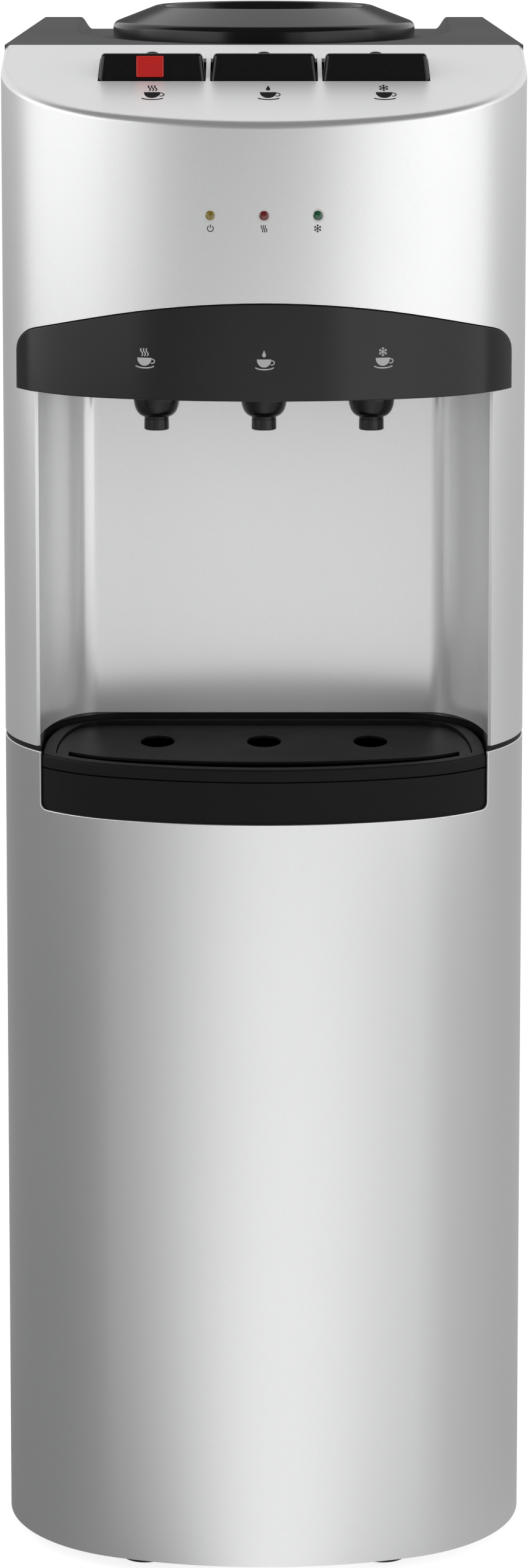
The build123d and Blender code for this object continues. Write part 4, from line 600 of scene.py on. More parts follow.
def niche_side(inset, front, half):
    """Right half of the niche in plan, from its front edge along the swept side to the middle of its back."""
    wide, deep, bend = half - inset - NICHE_FLAT, NICHE_SWEEP - inset, NICHE_BACK - NICHE_SWEEP
    line = [(half - inset, front + (bend - front) * step / 4) for step in range(4)]
    for step in range(NICHE_ARC + 1):
        lean = math.pi / 2 * (1 - step / NICHE_ARC)
        reach = math.hypot(wide * math.sin(lean), deep * math.cos(lean))
        line.append((NICHE_FLAT + wide ** 2 * math.sin(lean) / reach, bend + deep ** 2 * math.cos(lean) / reach))
    return line + [(NICHE_FLAT * (1 - step / 6), NICHE_BACK - inset) for step in range(1, 7)]


niche_front = bow_y(OPENING_HALF, BEHIND_WALL)
half_line = niche_side(0.0, niche_front, OPENING_HALF)
plan = [(-x, y) for x, y in half_line] + [(x, y) for x, y in reversed(half_line[:-1])]
niche = bmesh.new()
path = open_line(niche, [niche.verts.new((x, y, CASING_FOOT)) for x, y in plan])
risen, top_path = extrude_line(niche, path)
bmesh.ops.translate(niche, verts=risen, vec=(0, 0, CEILING - CASING_FOOT))
ends = sorted((v for v in risen if v.is_boundary and len(v.link_edges) == 2), key=lambda v: v.co.x)
places = even(ends[0].co.x, ends[-1].co.x, CEILING_PITCH)
front_line = [niche.verts.new((x, bow_y(x, BEHIND_BAND), CEILING)) for x in places]
front_edges = open_line(niche, [ends[0], *front_line, ends[-1]])
bmesh.ops.edgenet_fill(niche, edges=top_path + front_edges)
face_towards(niche, -UP)
bevel_edges(niche, top_path, CEILING_FILLET, 4)
print("niche depth at its sides, mm:", round((NICHE_BACK - niche_front) / MM, 1))
# The niche takes the lighter copy of the silver paint: painted light in the recess, with its own smoother gloss.
finish_piece(
    niche, "niche_skin", "cabinet", "silver_paint", ["niche_liner"], wall=CASING_WALL, edge=NICHE_EDGE,
    look="silver_paint_lit_niche",
)

# %% [markdown]
# ## Spouts
# Each outlet is a bell under the ceiling with a straight spout out of it. Both are profiles that are spun, and so is
# the stub at the back of each tap that takes the hose.

# %% Bells and taps
TAP_X = {"hot": -63.5 * MM, "room": 0.0, "cold": 63.5 * MM}
TAP_Y = -89 * MM
TAP_HEAD = 37 * MM
STUB_LONG = 19 * MM
STUB_DROP = 13 * MM
bell_low, bell_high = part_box("nozzle_bells")
bells = bmesh.new()
for x in TAP_X.values():
    shape = turned(
        bell_low.z, (7.7, 0), (8.3, 0), (9.5, 0.6), (10.7, 1.6), (11.8, 3.1), (12.6, 4.9), (13.2, 7), (13.6, 9.5),
        (13.7, 12),
    )
    shape += turned(bell_high.z, (13.7, 0), (7.7, 0))
    join_meshes(bells, spun(shape, (x, TAP_Y, 0), 64))
finish_piece(bells, "bell_trims", "cabinet", "black_gloss", ["nozzle_bells"])
for name, x in TAP_X.items():
    low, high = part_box(f"{name}_tap")
    seat = high.z - TAP_HEAD
    shape = turned(low.z, (4.5, 0), (7.4, 0), (7.3, 6.3), (6.9, 6.5), (6.9, 6.9), (7.4, 7.1))
    shape += turned(seat, (7.4, 0), (13, 0))
    shape += turned(high.z, (13, 0), (3.3, 0), (3.3, -6), (9, -6))
    shape += turned(seat, (9, 4), (4.5, 4))
    tap = spun(shape, (x, TAP_Y, 0), 64, {0: 0.5 * MM, 1: 0.8 * MM, 8: 1.0 * MM})
    stub = spun(turned(0.0, (3, 0), (5, 0), (5, 15), (5.5, 17), (4.6, 19), (3, 19)), (0, 0, 0), 32)
    bmesh.ops.rotate(stub, verts=stub.verts, cent=(0, 0, 0), matrix=Matrix.Rotation(-math.pi / 2, 3, "X"))
    bmesh.ops.translate(stub, verts=stub.verts, vec=(x, high.y - STUB_LONG, high.z - STUB_DROP))
    finish_piece(join_meshes(tap, stub), f"{name}_spout", "cabinet", "black_gloss", [f"{name}_tap"])

# %% [markdown]
# ## Return bellows
# A folded silicone sleeve round each push rod lifts the rod again when its key is let go. It is short of the rod's
# collar at the top and stands on the tap; in use it is squashed towards its foot by as much as the rod travels.
# Here each sleeve is built at rest.

# %% Return bellows
BELLOWS_FOLDS = 4
BELLOWS_DEPTH, BELLOWS_WALL = 2.5 * MM, 0.9 * MM
for name, x in TAP_X.items():
    low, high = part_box(f"{name}_bellows")
    outer, height = (high.x - low.x) / 2, high.z - low.z
    steps = range(2 * BELLOWS_FOLDS + 1)
    wave = [(outer - BELLOWS_DEPTH * (step % 2), low.z + height * step / (2 * BELLOWS_FOLDS)) for step in steps]
    shape = wave + [(reach - BELLOWS_WALL, z) for reach, z in reversed(wave)]
    sleeve = spun(shape, (x, TAP_Y, 0), 48)
    bellows = finish_piece(sleeve, f"{name}_return_bellows", "cabinet", "silicone", [f"{name}_bellows"])
    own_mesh(bellows)

# %% [markdown]
# ## Drip tray and grid
# The tray's rim is the niche's plan at the back and the bow at the front. Each level of it is one ring of points,
# so the rim, its round edges, the ledge and the basin come out of one loft. A row gives the gap to the niche, the gap
# to the bow, both in millimetres, and the height. The grid is a flat sheet that dips a little round its drain holes.

# %% Ring in plan
FRONT_STEPS = 40


def tray_ring(side_gap, bow_gap, z):
    """Closed ring set inside the niche and inside the bow, at one height."""
    half = NICHE_HALF - side_gap
    edge = bow_y(half, bow_gap)
    right = [(half * step / FRONT_STEPS, bow_y(half * step / FRONT_STEPS, bow_gap)) for step in range(FRONT_STEPS)]
    right += niche_side(side_gap, edge, NICHE_HALF)
    left = [(-x, y) for x, y in reversed(right[1:-1])]
    return [(x, y, z) for x, y in right + left]


print("points in a ring:", len(tray_ring(0.0, 0.0, 0.0)))

# %% Drip tray
tray_low, tray_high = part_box("drip_tray")
LIP = tray_high.z - 9.3 * MM
RIM_FALL = 2.0 * MM
FALL_FROM = 1.2 * MM
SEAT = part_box("drip_grid")[0].z
OUTER_ROUND, INNER_ROUND, TRAY_WALL = 1.4, 0.8, 2.2
rings = [(0.6, 4.8, tray_low.z), (0.6, 4.8, LIP - 0.05 * MM), (1.0, 2.1, LIP), (0.6, 1.7, LIP + 0.5 * MM)]
for turn in quarter_turn(4):
    draw = OUTER_ROUND * (1 - math.cos(turn))
    rings.append((0.6 + draw, 1.7 + draw, tray_high.z - OUTER_ROUND * MM * (1 - math.sin(turn))))
for turn in quarter_turn(3):
    draw = INNER_ROUND * math.sin(turn)
    rings.append((7.8 + draw, 8.9 + draw, tray_high.z - INNER_ROUND * MM * (1 - math.cos(turn))))
ledge, basin = SEAT - TRAY_WALL * MM, tray_low.z + TRAY_WALL * MM
rings += [(8.6, 9.7, SEAT), (12.6, 9.8, SEAT), (12.6, 9.8, ledge), (2.8, 7.0, ledge), (2.8, 7.0, basin)]
tray = loft([tray_ring(side * MM, bow * MM, z) for side, bow, z in rings])
for v in tray.verts:
    if v.co.z > SEAT + FALL_FROM:
        v.co.z -= RIM_FALL * (NICHE_BACK - v.co.y) / (NICHE_BACK - FRONT)
finish_piece(tray, "tray_body", "drip_tray", "black_satin", ["drip_tray"], look="black_dull")

# %% Drip grid
grid_low, grid_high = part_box("drip_grid")
SLOT_HALF = 115 * MM
SLOT_BACK, SLOT_CLOSE = 29.2 * MM, 8 * MM
DRAIN_HALF = (10.25 * MM, 17.4 * MM)
DRAIN_FALL = 0.7 * MM
DRAIN_REACH, DRAIN_SLOPE = 1.9, 0.9
GRID_SIDE, GRID_FRONT = 9.1 * MM, 10.2 * MM
GRID_PITCH, SLOT_PITCH = 4 * MM, 5 * MM
GRID_WALL, GRID_EDGE = 1.4 * MM, 0.4 * MM
arm_half = NICHE_HALF - GRID_SIDE
slot_steps = [-SLOT_HALF] + even(-SLOT_HALF, SLOT_HALF, SLOT_PITCH) + [SLOT_HALF]
arm_tip = bow_y(SLOT_HALF, GRID_FRONT)
side_line = niche_side(GRID_SIDE, bow_y(arm_half, GRID_FRONT), NICHE_HALF)
edge_line = [(x, bow_y(x, SLOT_BACK - SLOT_CLOSE * (x / SLOT_HALF) ** 2)) for x in slot_steps]
edge_line += [(SLOT_HALF, arm_tip), *side_line]
edge_line += [(-x, y) for x, y in reversed(side_line[:-1])] + [(-SLOT_HALF, arm_tip)]
grid = bmesh.new()
closed_line(grid, [grid.verts.new((x, y, grid_high.z)) for x, y in edge_line])
for x in TAP_X.values():
    place = Matrix.Translation((x, TAP_Y, grid_high.z)) @ Matrix.Diagonal((*DRAIN_HALF, 1, 1))
    bmesh.ops.create_circle(grid, segments=48, radius=1.0, cap_ends=False, matrix=place)
bmesh.ops.triangle_fill(grid, use_beauty=True, edges=grid.edges[:], normal=UP)
slice_mesh(grid, even(-arm_half, arm_half, GRID_PITCH), ACROSS)
slice_mesh(grid, even(grid_low.y, grid_high.y, GRID_PITCH), BACK)
for v in grid.verts:
    for x in TAP_X.values():
        reach = math.hypot((v.co.x - x) / DRAIN_HALF[0], (v.co.y - TAP_Y) / DRAIN_HALF[1])
        v.co.z -= DRAIN_FALL * ease((DRAIN_REACH - reach) / DRAIN_SLOPE)
face_towards(grid, UP)
finish_piece(
    grid, "grid_plate", "drip_grid", "black_satin", ["drip_grid"], wall=GRID_WALL, edge=GRID_EDGE, look="black_dull"
)

# %% [markdown]
# ## Deck and collar
# The deck is a flat sheet with a hole. It is sliced finely, the part outside a round dish is raised towards the back,
# and its border is extruded down in two steps. The collar is one turned part: skirt, sloping shoulder, thin rim,
# bowl and throat.

# %% Top deck
deck_low, deck_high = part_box("top_deck")
DECK_RISE = 7.5 * MM
DECK_TAPER = 14.5 * MM
DISH_RADIUS = 114.5 * MM
DISH_Y = SPLIT + 3 * MM + DISH_RADIUS
DISH_FOOT, DISH_WALL = 4 * MM, 7 * MM
HOLE_RADIUS = 60 * MM
HOLE_Y = 75 * MM
HOLE_LIP = 3 * MM
DECK_STEP = 2.5 * MM
DECK_WALL = 2.4 * MM
HEM, HEM_FALL = 1, 10


def deck_share(y):
    """How far a place is from the front of the deck to its back, from nought to one."""
    return (y - SPLIT) / (deck_high.y - SPLIT)


deck = bmesh.new()
far = HALF_WIDTH - DECK_TAPER
plan = ((-HALF_WIDTH, SPLIT), (HALF_WIDTH, SPLIT), (far, deck_high.y), (-far, deck_high.y))
closed_line(deck, [deck.verts.new((x, y, 0)) for x, y in plan])
hole = Vector((0, HOLE_Y, 0))
bmesh.ops.create_circle(deck, segments=64, radius=HOLE_RADIUS, cap_ends=False, matrix=Matrix.Translation(hole))
bmesh.ops.triangle_fill(deck, use_beauty=True, edges=deck.edges[:], normal=UP)
side_cuts = [DISH_RADIUS + step * MM for step in range(-5, 5)]
slice_mesh(deck, even(-HALF_WIDTH, HALF_WIDTH, DECK_STEP) + side_cuts + [-x for x in side_cuts], ACROSS)
slice_mesh(deck, even(SPLIT, deck_high.y, DECK_STEP), BACK)
border = [e for e in deck.edges if e.is_boundary]
inner = [e for e in border if (e.verts[0].co - hole).length < HOLE_RADIUS + MM]
outer = [e for e in border if e not in inner]
for v in deck.verts:
    out = abs(v.co.x) if v.co.y > DISH_Y else math.hypot(v.co.x, v.co.y - DISH_Y)
    v.co.z = DECK_LINE + DECK_RISE * deck_share(v.co.y) * ease((out - DISH_RADIUS + DISH_FOOT) / DISH_WALL)
for level in (0, 1):
    corners, outer = extrude_line(deck, outer)
    for v in corners:
        share = deck_share(v.co.y)
        if abs(abs(v.co.x) - (HALF_WIDTH - DECK_TAPER * share)) < 10 * TOUCH:
            v.co.x = math.copysign(HALF_WIDTH, v.co.x)
        v.co.z = deck_low.z if level else DECK_LINE - (HEM + HEM_FALL * share) * MM
lip = extrude_line(deck, inner)[0]
bmesh.ops.translate(deck, verts=lip, vec=(0, 0, -HOLE_LIP))
face_towards(deck, UP)
finish_piece(deck, "deck_skin", "cabinet", "graphite_plastic", ["top_deck"], wall=DECK_WALL)

# %% Bottle collar
low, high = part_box("bottle_collar")
throat_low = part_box("collar_throat")[0].z
COLLAR_Y = (low.y + high.y) / 2
shape = turned(low.z, (93.5, 0), (93.5, 9)) + turned(high.z, (66.5, 0), (63.5, 0))
shape += turned(low.z, (29, -20)) + turned(throat_low, (29, 0), (31.5, 0)) + turned(low.z, (31.5, -21))
shape += turned(high.z, (64.5, -4)) + turned(low.z, (91, 6.5), (91, 0))
collar = spun(shape, (0, COLLAR_Y, 0), 128, {1: 3 * MM, 2: 1.2 * MM, 3: 1.2 * MM, 4: 4 * MM, 5: 1.0 * MM})
finish_piece(
    collar, "collar_ring", "bottle_collar", "black_satin", ["bottle_collar", "collar_funnel", "collar_throat"],
    look="black_gloss",
)

# %% [markdown]
# ## Keys and child lock
# A key is a block with drafted sides, soft edges, two hinge legs, a pip on top and a stem that presses its rod.
# The hot key has a pocket in its front for the red lock, which slides in before the key goes down.

# %% Keys
KEY_DRAFT = math.tan(math.radians(6.9))
key_low, key_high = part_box("room_key")
KEY_TOP = key_high.z
KEY_FOOT = KEY_TOP - 19.3 * MM
KEY_LINE = KEY_TOP - 15.3 * MM
TOP_FALL = 2.4 * MM
LOCK_X = KEY_X["hot"] - 1.0 * MM
LOCK_HALF = 8 * MM
POCKET_DEPTH = 7.6 * MM
LOCK_LOW, LOCK_HIGH = KEY_LINE + 1.4 * MM, KEY_LINE + 13.8 * MM
LOCK_GAP = 0.3 * MM
KEY_CORNER, KEY_EDGE = 2.5 * MM, 1.8 * MM
KEY_Y = (KEY_FRONT + KEY_REAR) / 2
LEG_X, LEG_HALF = 20 * MM, 2 * MM
LEG_FRONT, LEG_REAR = -69.5 * MM, -61.5 * MM
STEM = turned(0.0, (0.01, 0), (3.5, 0), (3.5, 3), (0.01, 3))
STEM_DROP = 1.0 * MM
PIP = (3.6 * MM, 2.6 * MM, 1.3 * MM, 1)


def key_half(z):
    """Half width and half length of a key at a height."""
    draw = (z - KEY_LINE) * KEY_DRAFT
    return KEY_WIDTH / 2 - draw, (KEY_REAR - KEY_FRONT) / 2 - draw


def cut_pocket(key):
    """Cuts the pocket of the lock into the front of a key."""
    middle = Vector((LOCK_X, 0, (LOCK_LOW + LOCK_HIGH) / 2))
    cuts = [(ACROSS, LOCK_X + side * (LOCK_HALF + LOCK_GAP)) for side in (-1, 1)]
    cuts += [(UP, LOCK_LOW - LOCK_GAP), (UP, LOCK_HIGH + LOCK_GAP)]
    face = min(key.faces, key=lambda f: f.calc_center_median().y)
    for axis, place in cuts:
        cut = [face, *face.edges, *face.verts]
        parts = bmesh.ops.bisect_plane(key, geom=cut, plane_co=axis * place, plane_no=axis, dist=HAIR)
        faces = [g for g in parts["geom"] if isinstance(g, bmesh.types.BMFace)]
        face = min(faces, key=lambda f: abs((f.calc_center_median() - middle).dot(axis)))
    back = bmesh.ops.extrude_discrete_faces(key, faces=[face])["faces"][0]
    bmesh.ops.translate(key, verts=back.verts, vec=(0, POCKET_DEPTH, 0))


for name, x in KEY_X.items():
    key = bmesh.new()
    for v in box_mesh(key, (-1, -1, KEY_FOOT), (1, 1, KEY_TOP)):
        wide, long = key_half(v.co.z)
        v.co.x = x + math.copysign(wide, v.co.x)
        v.co.y = KEY_Y + math.copysign(long, v.co.y)
        if v.co.z > KEY_LINE and v.co.y > TAP_Y:
            v.co.z -= TOP_FALL
    upright = [e for e in key.edges if abs(e.verts[0].co.z - e.verts[1].co.z) > 4 * MM]
    bevel_edges(key, upright, KEY_CORNER, 4)
    top = max(key.faces, key=lambda f: f.calc_center_median().z)
    bevel_edges(key, list(top.edges), KEY_EDGE, 4)
    if name == "hot":
        cut_pocket(key)
    for side in (-1, 1):
        leg_x = x + side * LEG_X
        box_mesh(key, (leg_x - LEG_HALF, LEG_FRONT, key_low.z), (leg_x + LEG_HALF, LEG_REAR, KEY_FOOT + MM))
    stem = spun(STEM, (TAP_X[name], TAP_Y, KEY_FOOT - STEM_DROP), 24)
    pip = bmesh.new()
    bmesh.ops.create_uvsphere(pip, u_segments=24, v_segments=12, radius=1.0)
    spot = Matrix.Translation((x, KEY_Y, KEY_TOP - TOP_FALL / 2)) @ Matrix.Diagonal(PIP)
    bmesh.ops.transform(pip, verts=pip.verts, matrix=spot)
    finish_piece(join_meshes(key, stem, pip), f"{name}_key_cap", f"{name}_key", "black_gloss", [f"{name}_key"])

# %% Child lock
LOCK_BACK, LOCK_FRONT = 5 * MM, -1.2 * MM
LOCK_EDGE = 0.7 * MM
lock = bmesh.new()
for v in box_mesh(lock, (LOCK_X - LOCK_HALF, 0, LOCK_LOW), (LOCK_X + LOCK_HALF, 1, LOCK_HIGH)):
    lean = (v.co.z - KEY_LINE) * KEY_DRAFT
    v.co.y = KEY_FRONT + (LOCK_BACK if v.co.y > 0.5 else lean + LOCK_FRONT)
bevel_edges(lock, lock.edges[:], LOCK_EDGE, 3)
finish_piece(lock, "lock_button", "child_lock", "red_plastic", ["child_lock"])

# %% [markdown]
# ## Indicator lamps
# A small domed lens in a white ring, three times. The profile is spun upright, then laid down to face the front.

# %% Lamps and rings
LAMP_X = {"power": -30.5 * MM, "hot": 0.0, "cold": 30.5 * MM}
LAMP_SLOTS = {"power": "amber_lens", "hot": "red_lens", "cold": "green_lens"}
ring_low, ring_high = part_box("lamp_bezels")
LAMP_Z = (ring_low.z + ring_high.z) / 2
FACE_FRONT = Matrix.Rotation(math.pi / 2, 3, "X")
LENS_RADIUS, LENS_FOOT, LENS_RISE = 2.7 * MM, 0.1 * MM, 0.75 * MM
RING_SHAPE = turned(0.0, (2.8, -4.7), (3.9, -4.7), (3.9, 0.3), (2.8, 0.3))


def on_front(bm, x):
    """Lays a spun part down so that it faces the front, at the height of the lamps."""
    bmesh.ops.rotate(bm, verts=bm.verts, cent=(0, 0, 0), matrix=FACE_FRONT)
    bmesh.ops.translate(bm, verts=bm.verts, vec=(x, bow_y(x), LAMP_Z))
    return bm


rings = bmesh.new()
for name, x in LAMP_X.items():
    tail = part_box(f"{name}_lamp")[1].y - bow_y(x)
    dome = [(LENS_RADIUS * math.cos(t), LENS_FOOT + LENS_RISE * math.sin(t)) for t in quarter_turn(8)]
    lens = spun([(0.0, -tail), (LENS_RADIUS, -tail), *dome], (0, 0, 0), 48)
    finish_piece(on_front(lens, x), f"{name}_lens", "cabinet", LAMP_SLOTS[name], [f"{name}_lamp"])
    join_meshes(rings, on_front(spun(RING_SHAPE, (0, 0, 0), 48, {2: 0.35 * MM, 3: 0.2 * MM}), x))
finish_piece(rings, "lamp_rings", "cabinet", "white_plastic", ["lamp_bezels"])

# %% [markdown]
# ## Small signs
# Printed pictograms: a cup with steam, with a drop and with a snowflake, and a plain sign under each lamp.
# A stroke is a narrow grid that is led along a line; a bowl and a drop are flat faces.
# All of them are a tenth of a millimetre thick and half sunk into the surface that carries them.

# %% Strokes
PRINT = 0.05 * MM
STEAM_SWAY, STEAM_TURN, STEAM_STEPS = 0.14, 6.0, 16
BARB_AT, BARB_LONG, BARB_TURN = 0.58, 0.34, math.radians(50)


def stroke(bm, points, width):
    """Adds a ribbon of one width along a line of (u, v) points."""
    count = len(points) - 1
    made = bmesh.ops.create_grid(bm, x_segments=count, y_segments=1, size=1.0)["verts"]
    for v in made:
        i = round((v.co.x + 1) / 2 * count)
        before, after = Vector(points[max(i - 1, 0)]), Vector(points[min(i + 1, count)])
        along = (after - before).normalized()
        spot = Vector(points[i]) + Vector((-along.y, along.x)) * v.co.y * width / 2
        v.co = (spot.x, 0.0, spot.y)


def arc(u, v, wide, high, start, end, steps=24):
    """Points along an ellipse between two angles in degrees."""
    angles = [math.radians(start + (end - start) * i / steps) for i in range(steps + 1)]
    return [(u + wide * math.cos(t), v + high * math.sin(t)) for t in angles]


def steam(bm, u, v, high, gap, width):
    """Three rising wavy strokes."""
    for i in (-1, 0, 1):
        shares = [n / STEAM_STEPS for n in range(STEAM_STEPS + 1)]
        sway = [STEAM_SWAY * high * math.sin(STEAM_TURN * t) for t in shares]
        stroke(bm, [(u + i * gap + side, v + high * t) for side, t in zip(sway, shares)], width)


def flake(bm, u, v, size, width):
    """Six arms with short barbs."""
    for arm in range(6):
        t = math.radians(60 * arm + 90)
        stroke(bm, [(u, v), (u + size * math.cos(t), v + size * math.sin(t))], width)
        for side in (-1, 1):
            s = t + side * BARB_TURN
            root = (u + BARB_AT * size * math.cos(t), v + BARB_AT * size * math.sin(t))
            tip = (root[0] + BARB_LONG * size * math.cos(s), root[1] + BARB_LONG * size * math.sin(s))
            stroke(bm, [root, tip], width)


def cup(bm):
    """A bowl with a handle on a saucer, one unit wide, standing on v = 0."""
    bowl = polygon(arc(-0.08, 0.50, 0.34, 0.36, 180, 360) + [(0.26, 0.52), (-0.42, 0.52)])
    join_meshes(bm, bowl)
    stroke(bm, arc(0.28, 0.36, 0.13, 0.10, -115, 105, 16), 0.05)
    stroke(bm, arc(-0.06, 0.16, 0.44, 0.12, 190, 350, 20), 0.06)


def sign(kind):
    """One pictogram about one unit wide, in the flat x-z plane."""
    bm = bmesh.new()
    if kind in ("hot", "room", "cold"):
        cup(bm)
        if kind == "hot":
            steam(bm, -0.08, 0.60, 0.36, 0.13, 0.055)
        elif kind == "room":
            join_meshes(bm, polygon(arc(-0.08, 0.72, 0.09, 0.10, -215, 35, 20) + [(-0.08, 0.96)]))
        else:
            flake(bm, -0.08, 0.80, 0.21, 0.045)
    elif kind == "power":
        stroke(bm, arc(0, 0.5, 0.36, 0.36, 125, 415, 40), 0.11)
        stroke(bm, [(0, 0.52), (0, 0.98)], 0.11)
    elif kind == "steam":
        steam(bm, 0, 0.08, 0.84, 0.25, 0.11)
    else:
        flake(bm, 0, 0.5, 0.5, 0.09)
    bmesh.ops.recalc_face_normals(bm, faces=bm.faces)
    for f in bm.faces:
        if f.normal.y > 0:
            f.normal_flip()
    return bm


# %% Print the signs
PANEL_SIGNS = {"hot": -63.5 * MM, "room": 3.5 * MM, "cold": 70.5 * MM}
BAND_SIGNS = {"hot": -67.5 * MM, "room": 1.0 * MM, "cold": 69.0 * MM}
LAMP_SIGNS = {"power": -30.5 * MM, "steam": 0.0, "flake": 30.5 * MM}
PANEL_SIGN_Y = -140.5 * MM
BAND_SIGN_Z = BAND_FOOT + 18 * MM
LAMP_SIGN_Z = LAMP_Z - 9.8 * MM


def panel_spot(x, z):
    """Place on the sloping panel of a sign's point."""
    y = PANEL_SIGN_Y + z
    return x, y, panel_z(y) + PRINT


def band_spot(x, z):
    """Place on the band of a sign's point."""
    return x, bow_y(x) - PRINT, BAND_SIGN_Z + z


def lamp_spot(x, z):
    """Place under the lamps of a sign's point."""
    return x, bow_y(x) - PRINT, LAMP_SIGN_Z + z


def print_signs(name, slot, look, places, spot, wide, high):
    """Prints a row of signs of one size as one piece."""
    row = bmesh.new()
    for kind, x in places.items():
        mark = sign(kind)
        for v in mark.verts:
            v.co = spot(x + v.co.x * wide, v.co.z * high)
        join_meshes(row, mark)
    finish_piece(row, name, "cabinet", slot, wall=2 * PRINT, look=look)


print_signs("panel_signs", "graphite_plastic", "dark_print", PANEL_SIGNS, panel_spot, 14 * MM, 29 * MM)
print_signs("band_signs", "white_plastic", "pale_print", BAND_SIGNS, band_spot, 12 * MM, 12.2 * MM)
print_signs("lamp_signs", "graphite_plastic", "dark_print", LAMP_SIGNS, lamp_spot, 4.6 * MM, 4.8 * MM)

# %% [markdown]
# ## Floor, light and camera
# A pale floor without an edge and a white world, which mirrored rays see as the camera does. As in a studio, dark
# cloths shape what the metal mirrors: one on the floor that thins out towards the front, and boards in front, overhead
# and behind. They show in reflections only. A wide soft box stands at each side.

# %% Floor
FLOOR_SIZE = 30.0
WHITE_LIFT = 0.85


def add_stage(name, stage_mesh, material):
    """Stage object from a bmesh, which is not part of the dispenser."""
    mesh = bpy.data.meshes.new(name)
    stage_mesh.to_mesh(mesh)
    stage_mesh.free()
    mesh.materials.append(material)
    stage = bpy.data.objects.new(name, mesh)
    bpy.context.scene.collection.objects.link(stage)
    return stage


def seen_rays(nodes, links):
    """Socket that is one for rays from the camera and for mirrored or refracted ones."""
    ray = nodes.new("ShaderNodeLightPath")
    total = ray.outputs["Is Camera Ray"]
    for kind in ("Is Glossy Ray", "Is Transmission Ray"):
        either = nodes.new("ShaderNodeMath")
        either.operation = "MAXIMUM"
        links.new(total, either.inputs[0])
        links.new(ray.outputs[kind], either.inputs[1])
        total = either.outputs[0]
    return total


pale = bpy.data.materials.new("pale_floor")
pale.use_nodes = True
nodes, links = pale.node_tree.nodes, pale.node_tree.links
shader = nodes["Principled BSDF"]
shader.inputs["Base Color"].default_value = (0.42, 0.42, 0.42, 1)
shader.inputs["Roughness"].default_value = 0.9
shader.inputs["Emission Color"].default_value = (1, 1, 1, 1)
lift = nodes.new("ShaderNodeMath")
lift.operation = "MULTIPLY"
lift.inputs[1].default_value = WHITE_LIFT
links.new(seen_rays(nodes, links), lift.inputs[0])
links.new(lift.outputs[0], shader.inputs["Emission Strength"])
floor_mesh = bmesh.new()
bmesh.ops.create_grid(floor_mesh, x_segments=1, y_segments=1, size=FLOOR_SIZE)
add_stage("studio_floor", floor_mesh, pale)
print(f"floor: {2 * FLOOR_SIZE:.0f} m square")

# %% Cloths and boards
CLOTH_CENTRE = 0.10
CLOTH_LIFT = 0.2 * MM
# How clear the floor cloth is at each angle round the dispenser, clear at the front and darker towards the sides and
# back: painted reflection, which sets how dark the floor shows in the silver skins.
CLOTH = [
    (-180, 0.75), (-160, 0.22), (-84, 0.18), (-50, 0.25), (-30, 0.52), (-13, 0.88), (0, 1.0), (14, 1.0), (32, 0.82),
    (67, 0.48), (158, 0.36), (180, 0.75),
]
cloth = bpy.data.materials.new("dark_cloth")
cloth.use_nodes = True
nodes, links = cloth.node_tree.nodes, cloth.node_tree.links
place = nodes.new("ShaderNodeTexCoord")
turn = nodes.new("ShaderNodeMapping")
turn.inputs["Rotation"].default_value = (0, 0, math.pi / 2)
turn.inputs["Location"].default_value = (-CLOTH_CENTRE, 0, 0)
links.new(place.outputs["Object"], turn.inputs["Vector"])
around = nodes.new("ShaderNodeTexGradient")
around.gradient_type = "RADIAL"
links.new(turn.outputs["Vector"], around.inputs["Vector"])
thin = nodes.new("ShaderNodeValToRGB")
thin.color_ramp.interpolation = "B_SPLINE"
while len(thin.color_ramp.elements) < len(CLOTH):
    thin.color_ramp.elements.new(0.5)
for stop, (angle, share) in zip(thin.color_ramp.elements, CLOTH):
    stop.position = 0.5 + angle / 360
    stop.color = (share, share, share, 1)
links.new(around.outputs["Fac"], thin.inputs["Fac"])
clear = nodes.new("ShaderNodeBsdfTransparent")
links.new(thin.outputs["Color"], clear.inputs["Color"])
links.new(clear.outputs[0], nodes["Material Output"].inputs["Surface"])
cloth_mesh = bmesh.new()
above_floor = Matrix.Translation((0, 0, CLOTH_LIFT))
bmesh.ops.create_grid(cloth_mesh, x_segments=1, y_segments=1, size=FLOOR_SIZE, matrix=above_floor)
board = bpy.data.materials.new("dark_board")
board.use_nodes = True
shader = board.node_tree.nodes["Principled BSDF"]
shader.inputs["Base Color"].default_value = (0.25, 0.25, 0.25, 1)
shader.inputs["Roughness"].default_value = 0.9
BOARDS = [
    ((-2.2, 2.2), (-3.6, 0.6), (-3.6, 2.6)),
    ((-3.0, 3.0), (-3.6, 2.6), (0.45, 2.6)),
    ((-0.8, 0.8), (3.0, 1.0), (3.0, 2.15)),
]
board_mesh = bmesh.new()
for (left, right), low, high in BOARDS:
    corners = ((left, *low), (right, *low), (right, *high), (left, *high))
    board_mesh.faces.new([board_mesh.verts.new(p) for p in corners])
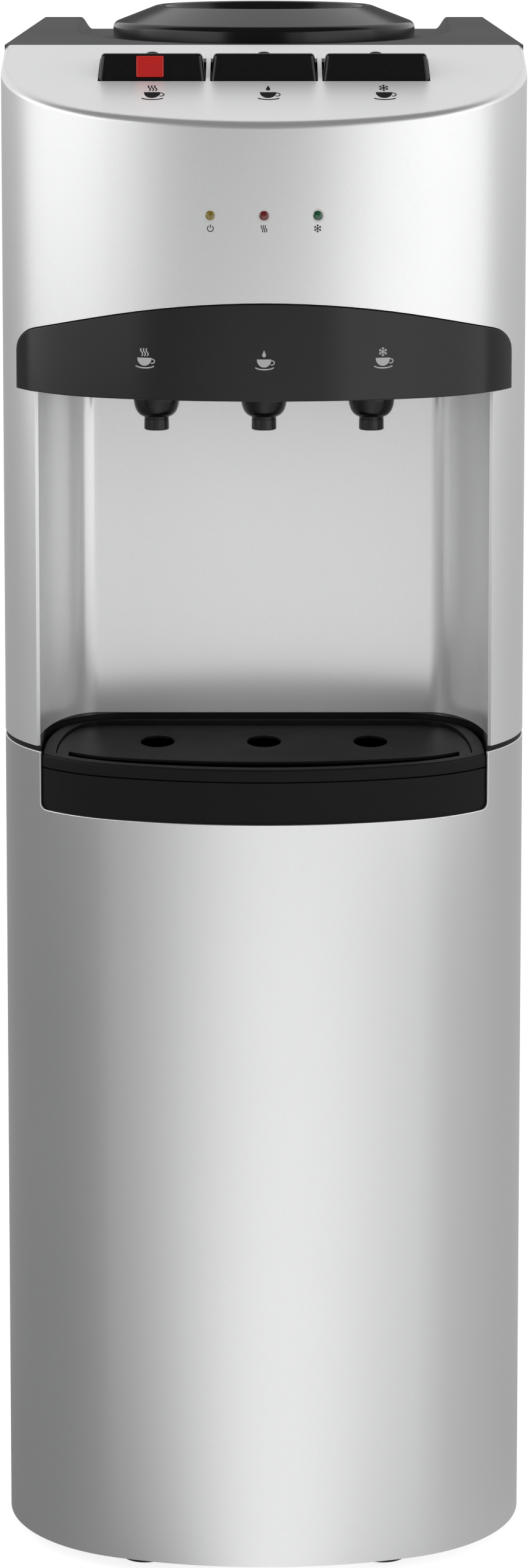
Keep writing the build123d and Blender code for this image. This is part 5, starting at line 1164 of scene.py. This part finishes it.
for stage in (add_stage("floor_cloth", cloth_mesh, cloth), add_stage("boards", board_mesh, board)):
    stage.visible_camera = stage.visible_diffuse = stage.visible_shadow = False
print("cloth and boards, seen in reflections only")

# %% World and lamps
AMBIENT = 0.55
WATTS_PER_RADIANCE = 4
world = bpy.data.worlds.new("studio")
bpy.context.scene.world = world
world.use_nodes = True
nodes, links = world.node_tree.nodes, world.node_tree.links
white = nodes.new("ShaderNodeMix")
white.inputs[2].default_value = AMBIENT
white.inputs[3].default_value = 1.0
links.new(seen_rays(nodes, links), white.inputs[0])
nodes["Background"].inputs["Color"].default_value = (1, 1, 1, 1)
links.new(white.outputs[0], nodes["Background"].inputs["Strength"])


def soft_box(name, place, aim, width, height, radiance):
    """Rectangular soft light at a place, turned towards a point, that looks as bright as its radiance."""
    light = bpy.data.lights.new(name, "AREA")
    light.shape = "RECTANGLE"
    light.size, light.size_y = width, height
    light.energy = WATTS_PER_RADIANCE * radiance * width * height
    lamp = bpy.data.objects.new(name, light)
    lamp.location = place
    lamp.rotation_euler = (Vector(aim) - Vector(place)).to_track_quat("-Z", "Y").to_euler()
    lamp.visible_camera = False
    bpy.context.scene.collection.objects.link(lamp)
    print(f"{name}: {light.energy:.1f} W")


soft_box("left_box", (-1.26, -0.54, 1.0), (0, -0.16, 0.9), width=2.2, height=1.0, radiance=0.82)
soft_box("right_box", (1.15, -0.85, 0.9), (0, -0.16, 0.8), width=2.2, height=1.2, radiance=0.66)
bpy.context.scene.view_settings.view_transform = "Standard"

# %% Camera
CAMERA_AWAY = 2.6
CAMERA_HEIGHT = 1.032
CAMERA_TILT = math.radians(90 - 7.5)
lens = bpy.data.cameras.new("camera")
lens.lens = 105.46
lens.sensor_width = 36.0
lens.shift_y = -0.2306
lens.clip_end = 100.0
camera = bpy.data.objects.new("camera", lens)
camera.location = (0.0, FRONT - CAMERA_AWAY, CAMERA_HEIGHT)
camera.rotation_euler = (CAMERA_TILT, 0.0, 0.0)
bpy.context.scene.collection.objects.link(camera)
bpy.context.scene.camera = camera
print("camera in front of the dispenser, m:", CAMERA_AWAY)
